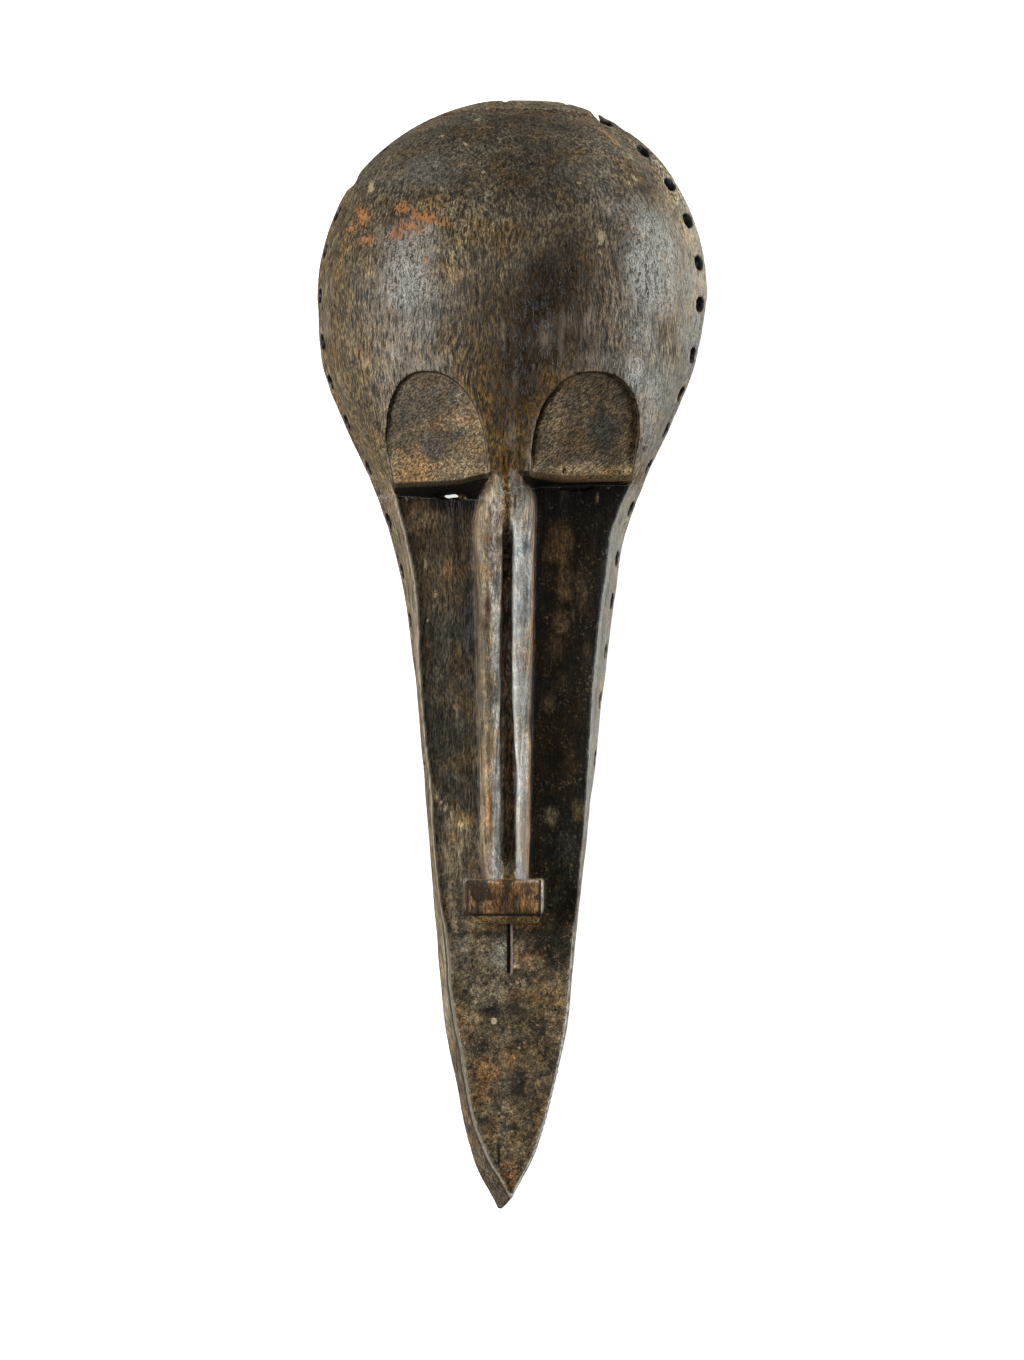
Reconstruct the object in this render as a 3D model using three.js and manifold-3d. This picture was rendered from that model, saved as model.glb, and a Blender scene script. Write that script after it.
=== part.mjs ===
// A long African face mask carved from one block of hardwood, lying on its back rim.
// Millimetres. X runs to the viewer's right, +Y to the crown of the forehead, +Z out of
// the face. The flat back rim lies in the plane z = 0, and the origin is under the middle
// of the mask's box.
import * as THREE from 'three';
import { mergeVertices } from 'three/addons/utils/BufferGeometryUtils.js';
import Module from 'manifold-3d';

const wasm = await Module();
wasm.setup();

// ---------------------------------------------------------------- driving sizes
const HALF_LENGTH = 310.2;          // crown to chin is twice this
const CROWN_VIRTUAL = 311.6;        // where the round of the crown would close
const DOME_MID = 199.4;             // Y of the widest place
const DOME_HALF_WIDTH = 109.5;
const CROWN_POWER = 2.1;            // roundness of the crown in plan
const APEX_Y = 195;                 // Y of the highest place of the forehead
const APEX_Z = 100;                 // height of the forehead above the rim
const BROW_Y = 98;                  // Y of the brow edge in the middle
const BROW_CREST = 90;              // height of the forehead at the brow edge
const TIP_HALF_WIDTH = 1.2;         // blunt end of the chin
const PROW_LEAN = 0.37;             // the chin end leans back by this much per mm of height

const WALL_DOME = 9;                // wood left round the hollow
const WALL_FACE = 7;
const PANEL_THICKNESS = 9;
const HOLLOW_END = -236;            // the chin is solid below this

const LIP_WIDTH = 2.4;              // border left round the sunk face panel
const PANEL_SINK = 3.2;             // depth of the panel below that border

const HOLE_DIAMETER = 7.6;          // burnt holes along the rim
const HOLE_HEIGHT = 8;              // their height above the rim plane
const HOLE_SIDES = 8;

const EYE_WIDTH = 26;               // the slit under each brow
const EYE_HEIGHT = 4.8;

// half width of the rim outline below the widest place, [Y, mm]
const OUTLINE = [
  [-310.2, TIP_HALF_WIDTH], [-282.2, 15.7], [-248.6, 25.2], [-203.8, 33.9], [-147.8, 39.8],
  [-80.6, 46.2], [-13.4, 52.6], [31.4, 58.2], [65.0, 65.2], [98.6, 77.0], [132.2, 93.0],
  [165.8, 105.3], [DOME_MID, DOME_HALF_WIDTH]];
// the rim wanders a little from side to side, and the front has its own middle line
const RIM_MIDDLE = [[-310, -7.3], [-248, -4.8], [-148, -3.2], [0, -2], [98, -2.8], [150, -2.2], [200, 0], [255, 0.8], [311, 5]];
const FRONT_MIDDLE = [[-310, -1.4], [-200, -2], [-148, -3.2], [0, -3.2], [54, -2.3], [98, -1], [200, 0], [311, 2]];
// the edge of the side walls round the face, in height
const LIP_Z = [[-310, 26.5], [-260, 32], [-200, 38], [-100, 47.5], [0, 54.5], [54, 57], [98, 58.5]];
// how much narrower the face is at that edge than at the rim, each side
const WALL_INSET = [[-310, 0.6], [-220, 3], [-180, 3.5], [-110, 3], [-30, 5.2], [0, 6.5], [31, 8], [54, 9.8], [74, 10.8], [98, 13.2]];

// the nose: two ridges, each given by its two sides at the brow and at the mouth, [Y, left, right, crest]
const NOSE_LEFT = [[-124, -15.4, -5.8, 56.5], [-60, -17.4, -5.2, 61], [0, -19, -4.8, 66], [50, -20.4, -4.6, 74], [101, -21, -4.4, 85.5]];
const NOSE_RIGHT = [[-124, 2.6, 9.6, 56.5], [-60, 1.2, 11.2, 61], [0, 0, 12, 66], [50, -0.8, 12.4, 74], [101, -1, 12.8, 85.5]];
const NOSE_FLOOR = 5;               // the groove between them is this much above the panel

const MOUTH = { left: -24.9, right: 17.3, top: -122.9, edge: -141.2, bottom: -146.6, front: 60, corner: 2 };
const CHIN_SLOT = { x: -1.7, width: 2.6, top: -145, bottom: -174.5, depth: 2 };

// ---------------------------------------------------------------- small helpers
const clamp = (v, lo, hi) => Math.min(hi, Math.max(lo, v));
const smooth = (a, b, v) => { const t = clamp((v - a) / (b - a), 0, 1); return t * t * (3 - 2 * t); };
const mix = (a, b, t) => a + (b - a) * t;

// a smooth curve through [y, value] stations that never overshoots them
function through(stations, column = 1) {
  const n = stations.length;
  const ys = stations.map(s => s[0]);
  const vs = stations.map(s => s[column]);
  const slope = [];
  for (let i = 0; i < n - 1; i++) slope.push((vs[i + 1] - vs[i]) / (ys[i + 1] - ys[i]));
  const m = vs.map((_, i) => {
    if (i === 0) return slope[0];
    if (i === n - 1) return slope[n - 2];
    const a = slope[i - 1], b = slope[i];
    return a * b <= 0 ? 0 : 2 * a * b / (a + b);
  });
  return y => {
    const v = clamp(y, ys[0], ys[n - 1]);
    let i = 0;
    while (i < n - 2 && v > ys[i + 1]) i++;
    const d = ys[i + 1] - ys[i], t = (v - ys[i]) / d;
    return (2 * t ** 3 - 3 * t ** 2 + 1) * vs[i] + (t ** 3 - 2 * t ** 2 + t) * d * m[i]
      + (-2 * t ** 3 + 3 * t ** 2) * vs[i + 1] + (t ** 3 - t ** 2) * d * m[i + 1];
  };
}

const outlineBelow = through(OUTLINE);
const rimMiddle = through(RIM_MIDDLE);
const frontMiddle = through(FRONT_MIDDLE);
const lipZ = through(LIP_Z);
const wallInset = through(WALL_INSET);

function halfWidth(y) {
  if (y <= DOME_MID) return outlineBelow(y);
  const e = clamp((y - DOME_MID) / (CROWN_VIRTUAL - DOME_MID), 0, 1);
  return DOME_HALF_WIDTH * (1 - e ** CROWN_POWER) ** (1 / CROWN_POWER);
}

// height of the block's crest before the face is cut into it
function crest(y) {
  if (y >= APEX_Y) {
    const e = clamp((y - APEX_Y) / (CROWN_VIRTUAL - APEX_Y), 0, 1);
    return APEX_Z * (1 - e ** 2.1) ** 0.62;
  }
  if (y >= BROW_Y) return APEX_Z - (APEX_Z - BROW_CREST) * ((APEX_Y - y) / (APEX_Y - BROW_Y)) ** 1.8;
  return mix(lipZ(y) + 24, BROW_CREST, smooth(BROW_Y - 60, BROW_Y, y));
}

const sectionPower = y => mix(6, mix(2.6, 2.15, smooth(110, 200, y)), smooth(40, 96, y));
const domeness = y => smooth(30, 98, y);
const leanLeft = y => 0.14;
const leanRight = y => mix(0.2, 0.36, smooth(110, 200, y)) - 0.06 * smooth(240, 300, y);

// the section of the block at station y: side is -1 or 1, t runs from 0 at the rim to 1 at the crest
function blockPoint(y, side, t) {
  const p = sectionPower(y), h = crest(y), a = halfWidth(y), zl = lipZ(y);
  const ang = t * Math.PI / 2;
  const zeta = Math.sin(ang) ** (2 / p);
  const z = h * zeta;
  const dome = domeness(y);
  const lean = (side < 0 ? leanLeft(y) : leanRight(y)) * h / Math.max(a, 20);
  const roundPart = 1 - lean * zeta * (1 - zeta);
  const straightPart = 1 - (wallInset(y) / a) * clamp(z / zl, 0, 1.25) * 0.86;
  const x = a * Math.max(Math.cos(ang), 0) ** (2 / p) * mix(straightPart, roundPart, dome);
  const middle = mix(rimMiddle(y), frontMiddle(y), clamp(z / zl, 0, 1));
  const prow = PROW_LEAN * z * (1 - smooth(-300, -170, y));
  return [middle + side * x, y + prow, z];
}

// a closed solid from rings of points: every ring has the same number of points
function skin(rings) {
  const n = rings[0].length;
  const position = [], index = [];
  for (const ring of rings) for (const p of ring) position.push(...p);
  for (let i = 0; i < rings.length - 1; i++) {
    for (let j = 0; j < n; j++) {
      const a = i * n + j, b = i * n + (j + 1) % n, c = a + n, d = b + n;
      index.push(a, b, d, a, d, c);
    }
  }
  const cap = (ring, base, flip) => {
    const m = [0, 1, 2].map(k => ring.reduce((s, p) => s + p[k], 0) / n);
    const at = position.length / 3;
    position.push(...m);
    for (let j = 0; j < n; j++) {
      const a = base + j, b = base + (j + 1) % n;
      if (flip) index.push(at, b, a); else index.push(at, a, b);
    }
  };
  cap(rings[0], 0, true);
  cap(rings[rings.length - 1], (rings.length - 1) * n, false);
  const g = new THREE.BufferGeometry();
  g.setAttribute('position', new THREE.Float32BufferAttribute(position, 3));
  g.setIndex(index);
  return solid(g);
}

function solid(geometry) {
  let g = geometry.clone();
  g.deleteAttribute('normal');
  g.deleteAttribute('uv');
  g = mergeVertices(g, 1e-4);
  const make = idx => new wasm.Manifold(new wasm.Mesh({
    numProp: 3,
    vertProperties: new Float32Array(g.attributes.position.array),
    triVerts: new Uint32Array(idx),
  }));
  const idx = Array.from(g.index.array);
  let volume = 0;
  const P = i => new THREE.Vector3().fromBufferAttribute(g.attributes.position, i);
  for (let i = 0; i < idx.length; i += 3) volume += P(idx[i]).dot(P(idx[i + 1]).cross(P(idx[i + 2])));
  if (volume < 0) for (let i = 0; i < idx.length; i += 3) [idx[i + 1], idx[i + 2]] = [idx[i + 2], idx[i + 1]];
  return make(idx);
}

const stations = (from, to, count) => Array.from({ length: count }, (_, i) => mix(from, to, i / (count - 1)));

// ---------------------------------------------------------------- the uncut block
const T_STEPS = 13;
const ts = Array.from({ length: T_STEPS + 1 }, (_, i) => i / T_STEPS);
const domeStations = Array.from({ length: 17 }, (_, i) => mix(APEX_Y, HALF_LENGTH, Math.sin(i / 16 * Math.PI / 2))).reverse();
const blockStations = [
  ...domeStations, ...stations(185, 104, 9), ...stations(96, 20, 9), ...stations(5, -235, 15),
  ...stations(-248, -302, 6), -HALF_LENGTH];

function blockRing(y) {
  const ring = [];
  for (const t of ts) ring.push(blockPoint(y, -1, t));
  for (const t of ts.slice(0, -1).reverse()) ring.push(blockPoint(y, 1, t));
  return ring;
}
let mask = skin(blockStations.map(blockRing));

// height of the block's surface over a point of the plan
function surfaceZ(x, y) {
  const side = x < frontMiddle(y) ? -1 : 1;
  let lo = 0, hi = 1;
  for (let i = 0; i < 40; i++) {
    const t = (lo + hi) / 2;
    if (side * (blockPoint(y, side, t)[0] - x) > 0) lo = t; else hi = t;
  }
  return blockPoint(y, side, lo)[2];
}

// ---------------------------------------------------------------- the face, cut in below the brow
const browFoot = x => x < -2 ? mix(87.2, 85.5, clamp((x + 63) / 49, 0, 1)) : mix(90.5, 92.5, clamp((x - 12) / 52, 0, 1));
const browLean = x => x < -2 ? 0.41 : 0.27;
function browY(x, z) { return browFoot(x) + browLean(x) * (z - lipZ(88)); }

const faceCutHalf = side => {
  const xs = side < 0 ? [-130, -63, -38, -14, -1] : [-1, 12, 38, 64, 130];
  const ys = stations(60, -330, 14);
  const rings = xs.map(x => {
    const xb = side < 0 ? Math.min(x, -2.01) : Math.max(x, -1.99);
    const ring = [[x, browY(xb, 130), 130], [x, browFoot(xb), lipZ(browFoot(xb))]];
    for (const y of ys) ring.push([x, y, lipZ(y)]);
    ring.push([x, -330, 130]);
    return ring;
  });
  return skin(rings);
};
mask = mask.subtract(faceCutHalf(-1)).subtract(faceCutHalf(1));

// front edge of the side wall at station y
const wallX = (y, side) => {
  const z = lipZ(y);
  let lo = 0, hi = 1;
  for (let i = 0; i < 40; i++) {
    const t = (lo + hi) / 2;
    if (blockPoint(y, side, t)[2] < z) lo = t; else hi = t;
  }
  return blockPoint(y, side, lo);
};

// the sunk panel inside its narrow border
const panelZ = y => lipZ(y) - PANEL_SINK;
const panelStations = [...stations(1, 0.02, 22)];
const panelRings = panelStations.map(s => {
  const y0 = mix(-297, 84, s);
  const l = wallX(y0, -1), r = wallX(y0, 1);
  const room = Math.max((r[0] - l[0]) / 2 - LIP_WIDTH, 0.6);
  const mid = (l[0] + r[0]) / 2;
  const xl = mid - room, xr = mid + room;
  const atBrow = s === 1;
  const yl = atBrow ? browFoot(Math.min(xl, -3)) - 0.2 : l[1];
  const yr = atBrow ? browFoot(Math.max(xr, 3)) - 0.2 : r[1];
  return [[xl, yl, panelZ(yl)], [xr, yr, panelZ(yr)], [xr, yr, 120], [xl, yl, 120]];
});
mask = mask.subtract(skin(panelRings));

// ---------------------------------------------------------------- flat brow pads
// a pad is a flat cut with a rounded head and a straight foot at the brow edge
const PAD_STEP = 2;
const PADS = [
  { inner: -14.2, outer: -67.5, foot: 88, head: 152.5, lean: 0.10 },
  { inner: 11.5, outer: 69.5, foot: 90, head: 152.5, lean: 0.10 }];
for (const pad of PADS) {
  const side = Math.sign(pad.inner);
  const mid = (pad.inner + pad.outer) / 2, half = Math.abs(pad.outer - pad.inner) / 2;
  const outline = [];
  const N = 18;
  const shoulder = pad.foot + (pad.head - pad.foot) * 0.36;
  outline.push([mid - half, pad.foot]);
  for (let i = 0; i <= N; i++) {
    const a = Math.PI * (1 - i / N);
    outline.push([mid + half * Math.sign(Math.cos(a)) * Math.abs(Math.cos(a)) ** 0.85, shoulder + (pad.head - shoulder) * Math.sin(a) ** 0.85]);
  }
  outline.push([mid + half, pad.foot]);
  // three places on the pad's edge set its plane
  const q = [[mid, pad.head - 2], [mid + side * half, 118], [mid - side * half, 112]].map(([x, y], i) =>
    new THREE.Vector3(x, y, surfaceZ(x, y) - [PAD_STEP, PAD_STEP * 0.8, PAD_STEP * 0.6][i]));
  const plane = new THREE.Plane().setFromCoplanarPoints(q[0], q[1], q[2]);
  const zAt = (x, y) => -(plane.constant + plane.normal.x * x + plane.normal.y * y) / plane.normal.z;
  const low = outline.map(([x, y]) => [x, y, zAt(x, y)]);
  const high = outline.map(([x, y]) => [x, y, 130]);
  mask = mask.subtract(skin([low, high]));
}

// ---------------------------------------------------------------- nose, mouth, chin slot
function ridge(table) {
  const left = through(table, 1), right = through(table, 2), top = through(table, 3);
  const rings = stations(table[table.length - 1][0], table[0][0], 14).map(y => {
    const a = (right(y) - left(y)) / 2, m = (right(y) + left(y)) / 2;
    const base = panelZ(y) - 3, h = top(y) - base;
    const ring = [];
    const N = 10;
    for (let i = 0; i <= N; i++) {
      const u = Math.PI * i / N;
      const c = Math.cos(u), s = Math.sin(u);
      ring.push([m - a * Math.sign(c) * Math.abs(c) ** 0.62, y, base + h * s ** 0.42]);
    }
    return ring;
  });
  return skin(rings);
}
const left = ridge(NOSE_LEFT), right = ridge(NOSE_RIGHT);
const web = skin(stations(99, -126, 10).map(y => {
  const z1 = panelZ(y) + NOSE_FLOOR + 16 * smooth(60, 99, y);
  return [[-12, y, panelZ(y) - 3], [6, y, panelZ(y) - 3], [6, y, z1], [-12, y, z1]];
}));
// the nose is trimmed where it would stand through the forehead
const noseTrim = skin([-40, 40].map(x => [[x, -200, 20], [x, 102, 20], [x, 102, 89], [x, 60, 89], [x, -200, 70]]));
mask = mask.add(left.add(right).add(web).intersect(noseTrim));

const mouthBox = (() => {
  const { left: l, right: r, top, edge, bottom, front, corner: c } = MOUTH;
  const base = panelZ(-135) - 4;
  const low = front - 8;
  const ring = (l2, r2, t2, b2, z) => [
    [l2 + c, t2, z], [r2 - c, t2, z], [r2, t2 - c, z], [r2, b2 + c, z], [r2 - c, b2, z], [l2 + c, b2, z], [l2, b2 + c, z], [l2, t2 - c, z]];
  return skin([ring(l, r, top, bottom, base), ring(l, r, top, bottom, low), ring(l + 0.6, r - 0.6, top - 0.4, edge, front)]);
})();
mask = mask.add(mouthBox);

const chinSlot = (() => {
  const { x, width, top, bottom, depth } = CHIN_SLOT;
  return skin(stations(top, bottom, 3).map(y => [
    [x - width / 2, y, panelZ(y) - depth], [x + width / 2, y, panelZ(y) - depth], [x + width / 2, y, panelZ(y) + 4], [x - width / 2, y, panelZ(y) + 4]]));
})();
mask = mask.subtract(chinSlot);

// ---------------------------------------------------------------- the hollow behind
function hollowCrest(y) {
  const dome = crest(y) - 10;
  const face = lipZ(y) - PANEL_SINK - PANEL_THICKNESS;
  return mix(face, dome, smooth(92, 150, y));
}
function hollowRing(y, endShrink) {
  const a = (halfWidth(y) - mix(WALL_FACE, WALL_DOME, smooth(60, 130, y))) * endShrink.w;
  const h = hollowCrest(y) * endShrink.h;
  const p = mix(3, 2.15, smooth(70, 130, y));
  const N = 8;
  const ring = [];
  const mid = z => mix(rimMiddle(y), frontMiddle(y), clamp(z / lipZ(y), 0, 1));
  const inset = wallInset(y) / halfWidth(y) * (1 - domeness(y));
  for (let i = 0; i <= 2 * N; i++) {
    const u = Math.PI * i / (2 * N);
    const zeta = Math.sin(u) ** (2 / p);
    const c = Math.cos(u);
    const z = h * zeta;
    const side = c > 0 ? -1 : 1;
    const lean = (side < 0 ? 0.14 : leanRight(y)) * zeta * (1 - zeta) * domeness(y);
    ring.push([mid(z) + side * a * Math.abs(c) ** (2 / p) * (1 - lean) * (1 - inset * zeta), y, z]);
  }
  ring.unshift([ring[0][0], y, -20]);
  ring.push([ring[ring.length - 1][0], y, -20]);
  return ring;
}
const hollowTop = 300.5;
const hollowRings = [];
for (let i = 0; i <= 8; i++) {
  const y = mix(200, hollowTop, Math.sin(i / 8 * Math.PI / 2 * 0.94));
  const e = (y - 200) / (hollowTop + 1.2 - 200);
  const want = Math.sqrt(Math.max(1 - e ** 2.1, 0));
  const have = Math.sqrt(Math.max(1 - ((y - DOME_MID) / (CROWN_VIRTUAL - DOME_MID)) ** 2.1, 0.01));
  hollowRings.push(hollowRing(y, { w: Math.min(1, want / have), h: clamp((want / have) ** 1.25, 0, 1) }));
}
hollowRings.reverse();
for (const y of [...stations(185, 80, 10), ...stations(62, -190, 12)]) hollowRings.push(hollowRing(y, { w: 1, h: 1 }));
for (const s of [0.4, 0.75, 1]) {
  const y = mix(-190, HOLLOW_END, s);
  const k = Math.sqrt(Math.max(1 - (s * 0.985) ** 2, 0));
  hollowRings.push(hollowRing(y, { w: mix(k, 1, 0.15), h: mix(k, 1, 0.25) }));
}
mask = mask.subtract(skin(hollowRings));

// ---------------------------------------------------------------- eye slits
for (const [x, y] of [[-33.5, browFoot(-33) + 1.2], [34.5, browFoot(34) + 0.6]]) {
  const w = EYE_WIDTH / 2, h = EYE_HEIGHT / 2;
  const g = new THREE.ExtrudeGeometry(new THREE.Shape([
    new THREE.Vector2(-w, 0), new THREE.Vector2(-w * 0.72, -h), new THREE.Vector2(w * 0.72, -h),
    new THREE.Vector2(w, 0), new THREE.Vector2(w * 0.72, h), new THREE.Vector2(-w * 0.72, h)]), { depth: 40, bevelEnabled: false });
  g.translate(x, y, lipZ(y) - 38);
  mask = mask.subtract(solid(g));
}

// ---------------------------------------------------------------- holes along the rim
// their places along each side, as Y on the outline
const RIM_HOLES_RIGHT = [301.2, 285, 265.6, 244.5, 219.8, 195.4, 167, 145, 125, 105, 81.5, 54, 30.5, 2, -25, -57];
const RIM_HOLES_LEFT = [300, 284, 265.5, 247.5, 226, 201, 175, 152, 129.5, 104, 75, 47, 20, -7, -34, -62];
for (const [list, side] of [[RIM_HOLES_RIGHT, 1], [RIM_HOLES_LEFT, -1]]) {
  for (const y of list) {
    const at = yy => rimMiddle(yy) + side * halfWidth(yy);
    const x = at(y);
    const dx = (at(y + 1) - at(y - 1)) / 2;
    const inward = new THREE.Vector2(-side, side * dx).normalize();   // square to the outline, towards the hollow
    const g = new THREE.CylinderGeometry(HOLE_DIAMETER / 2, HOLE_DIAMETER / 2, 30, HOLE_SIDES, 1);
    g.rotateY(Math.PI / HOLE_SIDES);
    const m = new THREE.Matrix4().makeBasis(
      new THREE.Vector3(-inward.y, inward.x, 0),
      new THREE.Vector3(inward.x, inward.y, 0),
      new THREE.Vector3(0, 0, 1).multiplyScalar(-1));
    m.setPosition(x + inward.x * 5, y + inward.y * 5, HOLE_HEIGHT);
    g.applyMatrix4(m);
    mask = mask.subtract(solid(g));
  }
}

// worn and broken places of the rim at the crown
for (const [x, y, rx, ry, rz] of [[41, 306.5, 13, 5.5, 9], [-4, 311.5, 2.2, 2.4, 8], [-86.5, 270.5, 3.2, 3.6, 8]]) {
  const g = new THREE.SphereGeometry(1, 10, 6);
  g.scale(rx, ry, rz * 1.6);
  if (rx > 5) g.rotateZ(-0.42);
  g.translate(x, y, 0);
  mask = mask.subtract(solid(g));
}

// ---------------------------------------------------------------- hand over
// Cuts leave a few hair-thin triangles. Short edges are drawn together and flat slivers
// are turned over onto their neighbour, keeping the skin closed.
function tidy(position, faces, shortEdge = 0.06, thin = 0.02) {
  const V = i => new THREE.Vector3(position[3 * i], position[3 * i + 1], position[3 * i + 2]);
  const key = (a, b) => (a < b ? a + '_' + b : b + '_' + a);
  const others = (f, a, b) => f.find(v => v !== a && v !== b);
  for (let pass = 0; pass < 40; pass++) {
    let changed = 0;
    const ring = new Map();
    const edges = new Map();
    faces.forEach((f, n) => {
      for (let k = 0; k < 3; k++) {
        const a = f[k], b = f[(k + 1) % 3];
        if (!ring.has(a)) ring.set(a, new Set());
        if (!ring.has(b)) ring.set(b, new Set());
        ring.get(a).add(b); ring.get(b).add(a);
        const e = key(a, b);
        if (!edges.has(e)) edges.set(e, []);
        edges.get(e).push(n);
      }
    });
    const touched = new Set();
    const free = list => list.every(v => !touched.has(v));
    const take = list => list.forEach(v => { touched.add(v); ring.get(v).forEach(w => touched.add(w)); });
    const dead = new Set();
    for (const [e, fs] of edges) {
      const [a, b] = e.split('_').map(Number);
      if (V(a).distanceTo(V(b)) >= shortEdge || !free([a, b])) continue;
      const common = [...ring.get(a)].filter(v => ring.get(b).has(v));
      if (common.length !== 2 || fs.length !== 2) continue;
      take([a, b]);
      const keepRim = position[3 * a + 2] === 0 || position[3 * b + 2] === 0;
      for (let k = 0; k < 3; k++) position[3 * a + k] = (position[3 * a + k] + position[3 * b + k]) / 2;
      if (keepRim) position[3 * a + 2] = 0;
      fs.forEach(n => dead.add(n));
      faces.forEach(f => { for (let k = 0; k < 3; k++) if (f[k] === b) f[k] = a; });
      changed++;
    }
    faces.forEach((f, n) => {
      if (dead.has(n) || !free(f)) return;
      const p = f.map(V);
      const len = [p[0].distanceTo(p[1]), p[1].distanceTo(p[2]), p[2].distanceTo(p[0])];
      const k = len.indexOf(Math.max(...len));
      const area2 = p[1].clone().sub(p[0]).cross(p[2].clone().sub(p[0])).length();
      if (area2 / len[k] >= thin) return;
      const a = f[k], b = f[(k + 1) % 3], c = f[(k + 2) % 3];
      const m = (edges.get(key(a, b)) || []).find(q => q !== n);
      if (m === undefined || dead.has(m)) return;
      const d = others(faces[m], a, b);
      if (edges.has(key(c, d)) || !free([a, b, c, d])) return;
      take([a, b, c, d]);
      faces[n] = [c, a, d];
      faces[m] = [d, b, c];
      changed++;
    });
    faces = faces.filter((_, n) => !dead.has(n));
    if (!changed) break;
  }
  return faces;
}

function toGeometry(manifold) {
  const mesh = manifold.getMesh();
  const n = mesh.numProp;
  const count = mesh.vertProperties.length / n;
  const position = new Array(count * 3);
  for (let i = 0; i < count; i++) for (let k = 0; k < 3; k++) position[i * 3 + k] = mesh.vertProperties[i * n + k];
  let faces = [];
  for (let i = 0; i < mesh.triVerts.length; i += 3) faces.push([mesh.triVerts[i], mesh.triVerts[i + 1], mesh.triVerts[i + 2]]);
  faces = tidy(position, faces);
  const used = new Map();
  const kept = [];
  const index = [];
  for (const f of faces) for (const v of f) {
    if (!used.has(v)) { used.set(v, used.size); kept.push(position[3 * v], position[3 * v + 1], position[3 * v + 2]); }
    index.push(used.get(v));
  }
  const g = new THREE.BufferGeometry();
  g.setAttribute('position', new THREE.Float32BufferAttribute(kept, 3));
  g.setIndex(index);
  g.computeVertexNormals();
  return g;
}

const wood = new THREE.MeshStandardMaterial({ color: 0x4b4036, roughness: 0.62, metalness: 0 });
const root = new THREE.Group();
const maskMesh = new THREE.Mesh(toGeometry(mask), wood);
maskMesh.name = 'mask';
root.add(maskMesh);

export default root;
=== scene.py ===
import math
import bpy
import numpy as np
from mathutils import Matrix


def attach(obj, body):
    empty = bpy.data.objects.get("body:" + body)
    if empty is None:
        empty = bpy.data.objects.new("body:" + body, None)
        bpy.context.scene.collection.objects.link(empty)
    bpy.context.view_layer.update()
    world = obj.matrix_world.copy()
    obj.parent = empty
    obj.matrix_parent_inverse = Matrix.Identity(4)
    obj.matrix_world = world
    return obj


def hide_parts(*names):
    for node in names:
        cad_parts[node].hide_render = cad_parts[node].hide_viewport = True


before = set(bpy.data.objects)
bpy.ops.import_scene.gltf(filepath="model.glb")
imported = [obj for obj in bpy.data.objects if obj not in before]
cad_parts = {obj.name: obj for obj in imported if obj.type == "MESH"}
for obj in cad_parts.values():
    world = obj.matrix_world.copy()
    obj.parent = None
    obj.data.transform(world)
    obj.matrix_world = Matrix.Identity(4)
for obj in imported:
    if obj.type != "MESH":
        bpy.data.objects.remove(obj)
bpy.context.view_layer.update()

import openvdb
from mathutils import Vector

F = np.float32


# ------------------------------------------------------------------ numbers of the carving (mm)
# The same drive sizes as the solid: X to the viewer's right, +Y to the crown, +Z out of the face.
HALF_LENGTH = 310.2
CROWN_VIRTUAL = 311.6
DOME_MID = 199.4
DOME_HALF_WIDTH = 109.5
CROWN_POWER = 2.1
APEX_Y, APEX_Z = 195.0, 100.0
BROW_Y, BROW_CREST = 98.0, 90.0
PROW_LEAN = 0.37
WALL_DOME, WALL_FACE, PANEL_THICKNESS = 9.0, 7.0, 9.0
HOLLOW_END = -236.0
LIP_WIDTH, PANEL_SINK = 1.6, 2.7
HOLE_RADIUS, HOLE_HEIGHT = 3.9, 8.0

OUTLINE = [(-310.2, 1.2), (-282.2, 15.7), (-248.6, 25.2), (-203.8, 33.9), (-147.8, 39.8), (-80.6, 46.2),
           (-13.4, 52.6), (31.4, 58.2), (65.0, 65.2), (98.6, 77.0), (132.2, 93.0), (165.8, 105.3),
           (DOME_MID, DOME_HALF_WIDTH)]
RIM_MIDDLE = [(-310, -7.3), (-248, -4.8), (-148, -3.2), (0, -2), (98, -2.8), (150, -2.2), (200, 0), (255, 0.8), (311, 5)]
FRONT_MIDDLE = [(-310, -1.4), (-200, -2), (-148, -3.2), (0, -3.2), (54, -2.3), (98, -1), (200, 0), (311, 2)]
LIP_Z = [(-310, 26.5), (-260, 32), (-200, 38), (-100, 47.5), (0, 54.5), (54, 57), (98, 58.5)]
WALL_INSET = [(-310, 0.6), (-220, 3), (-180, 3.5), (-110, 3), (-30, 5.2), (0, 6.5), (31, 8), (54, 9.8), (74, 10.8), (98, 13.2)]
# how far the hand strayed from those walls at their front edge, left and right
STRAY_LEFT = [(-310, 0.8), (-300, 0.5), (-292, -0.5), (-281, -0.8), (-270, -1.6), (-258, -1.2), (-246, -0.6), (-233, 0),
              (-220, 1.0), (-208, 0.5), (-183, 0.4), (-172, 1.4), (-161, 1.9), (-150, 2.1), (-139, 1.0), (-117, 0.5), (-95, 0.6),
              (-79, 1.1), (-63, 0.5), (-50, -0.5), (-19, -1.1), (3, -1.0), (14, -0.2), (58, 0.2), (68, 0.8), (80, 0.3), (90, 0.6), (110, 0)]
STRAY_RIGHT = [(-310, 0.5), (-296, 0.9), (-270, 1.2), (-210, 1.5), (-170, 1.6), (-140, 1.9), (-95, 2.2), (-41, 2.4), (-19, 2.3), (3, 2.9),
               (25, 3.0), (36, 3.2), (47, 2.5), (58, 0.1), (69, -2.2), (80, -2.0), (93, -0.6), (110, 0)]

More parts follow.
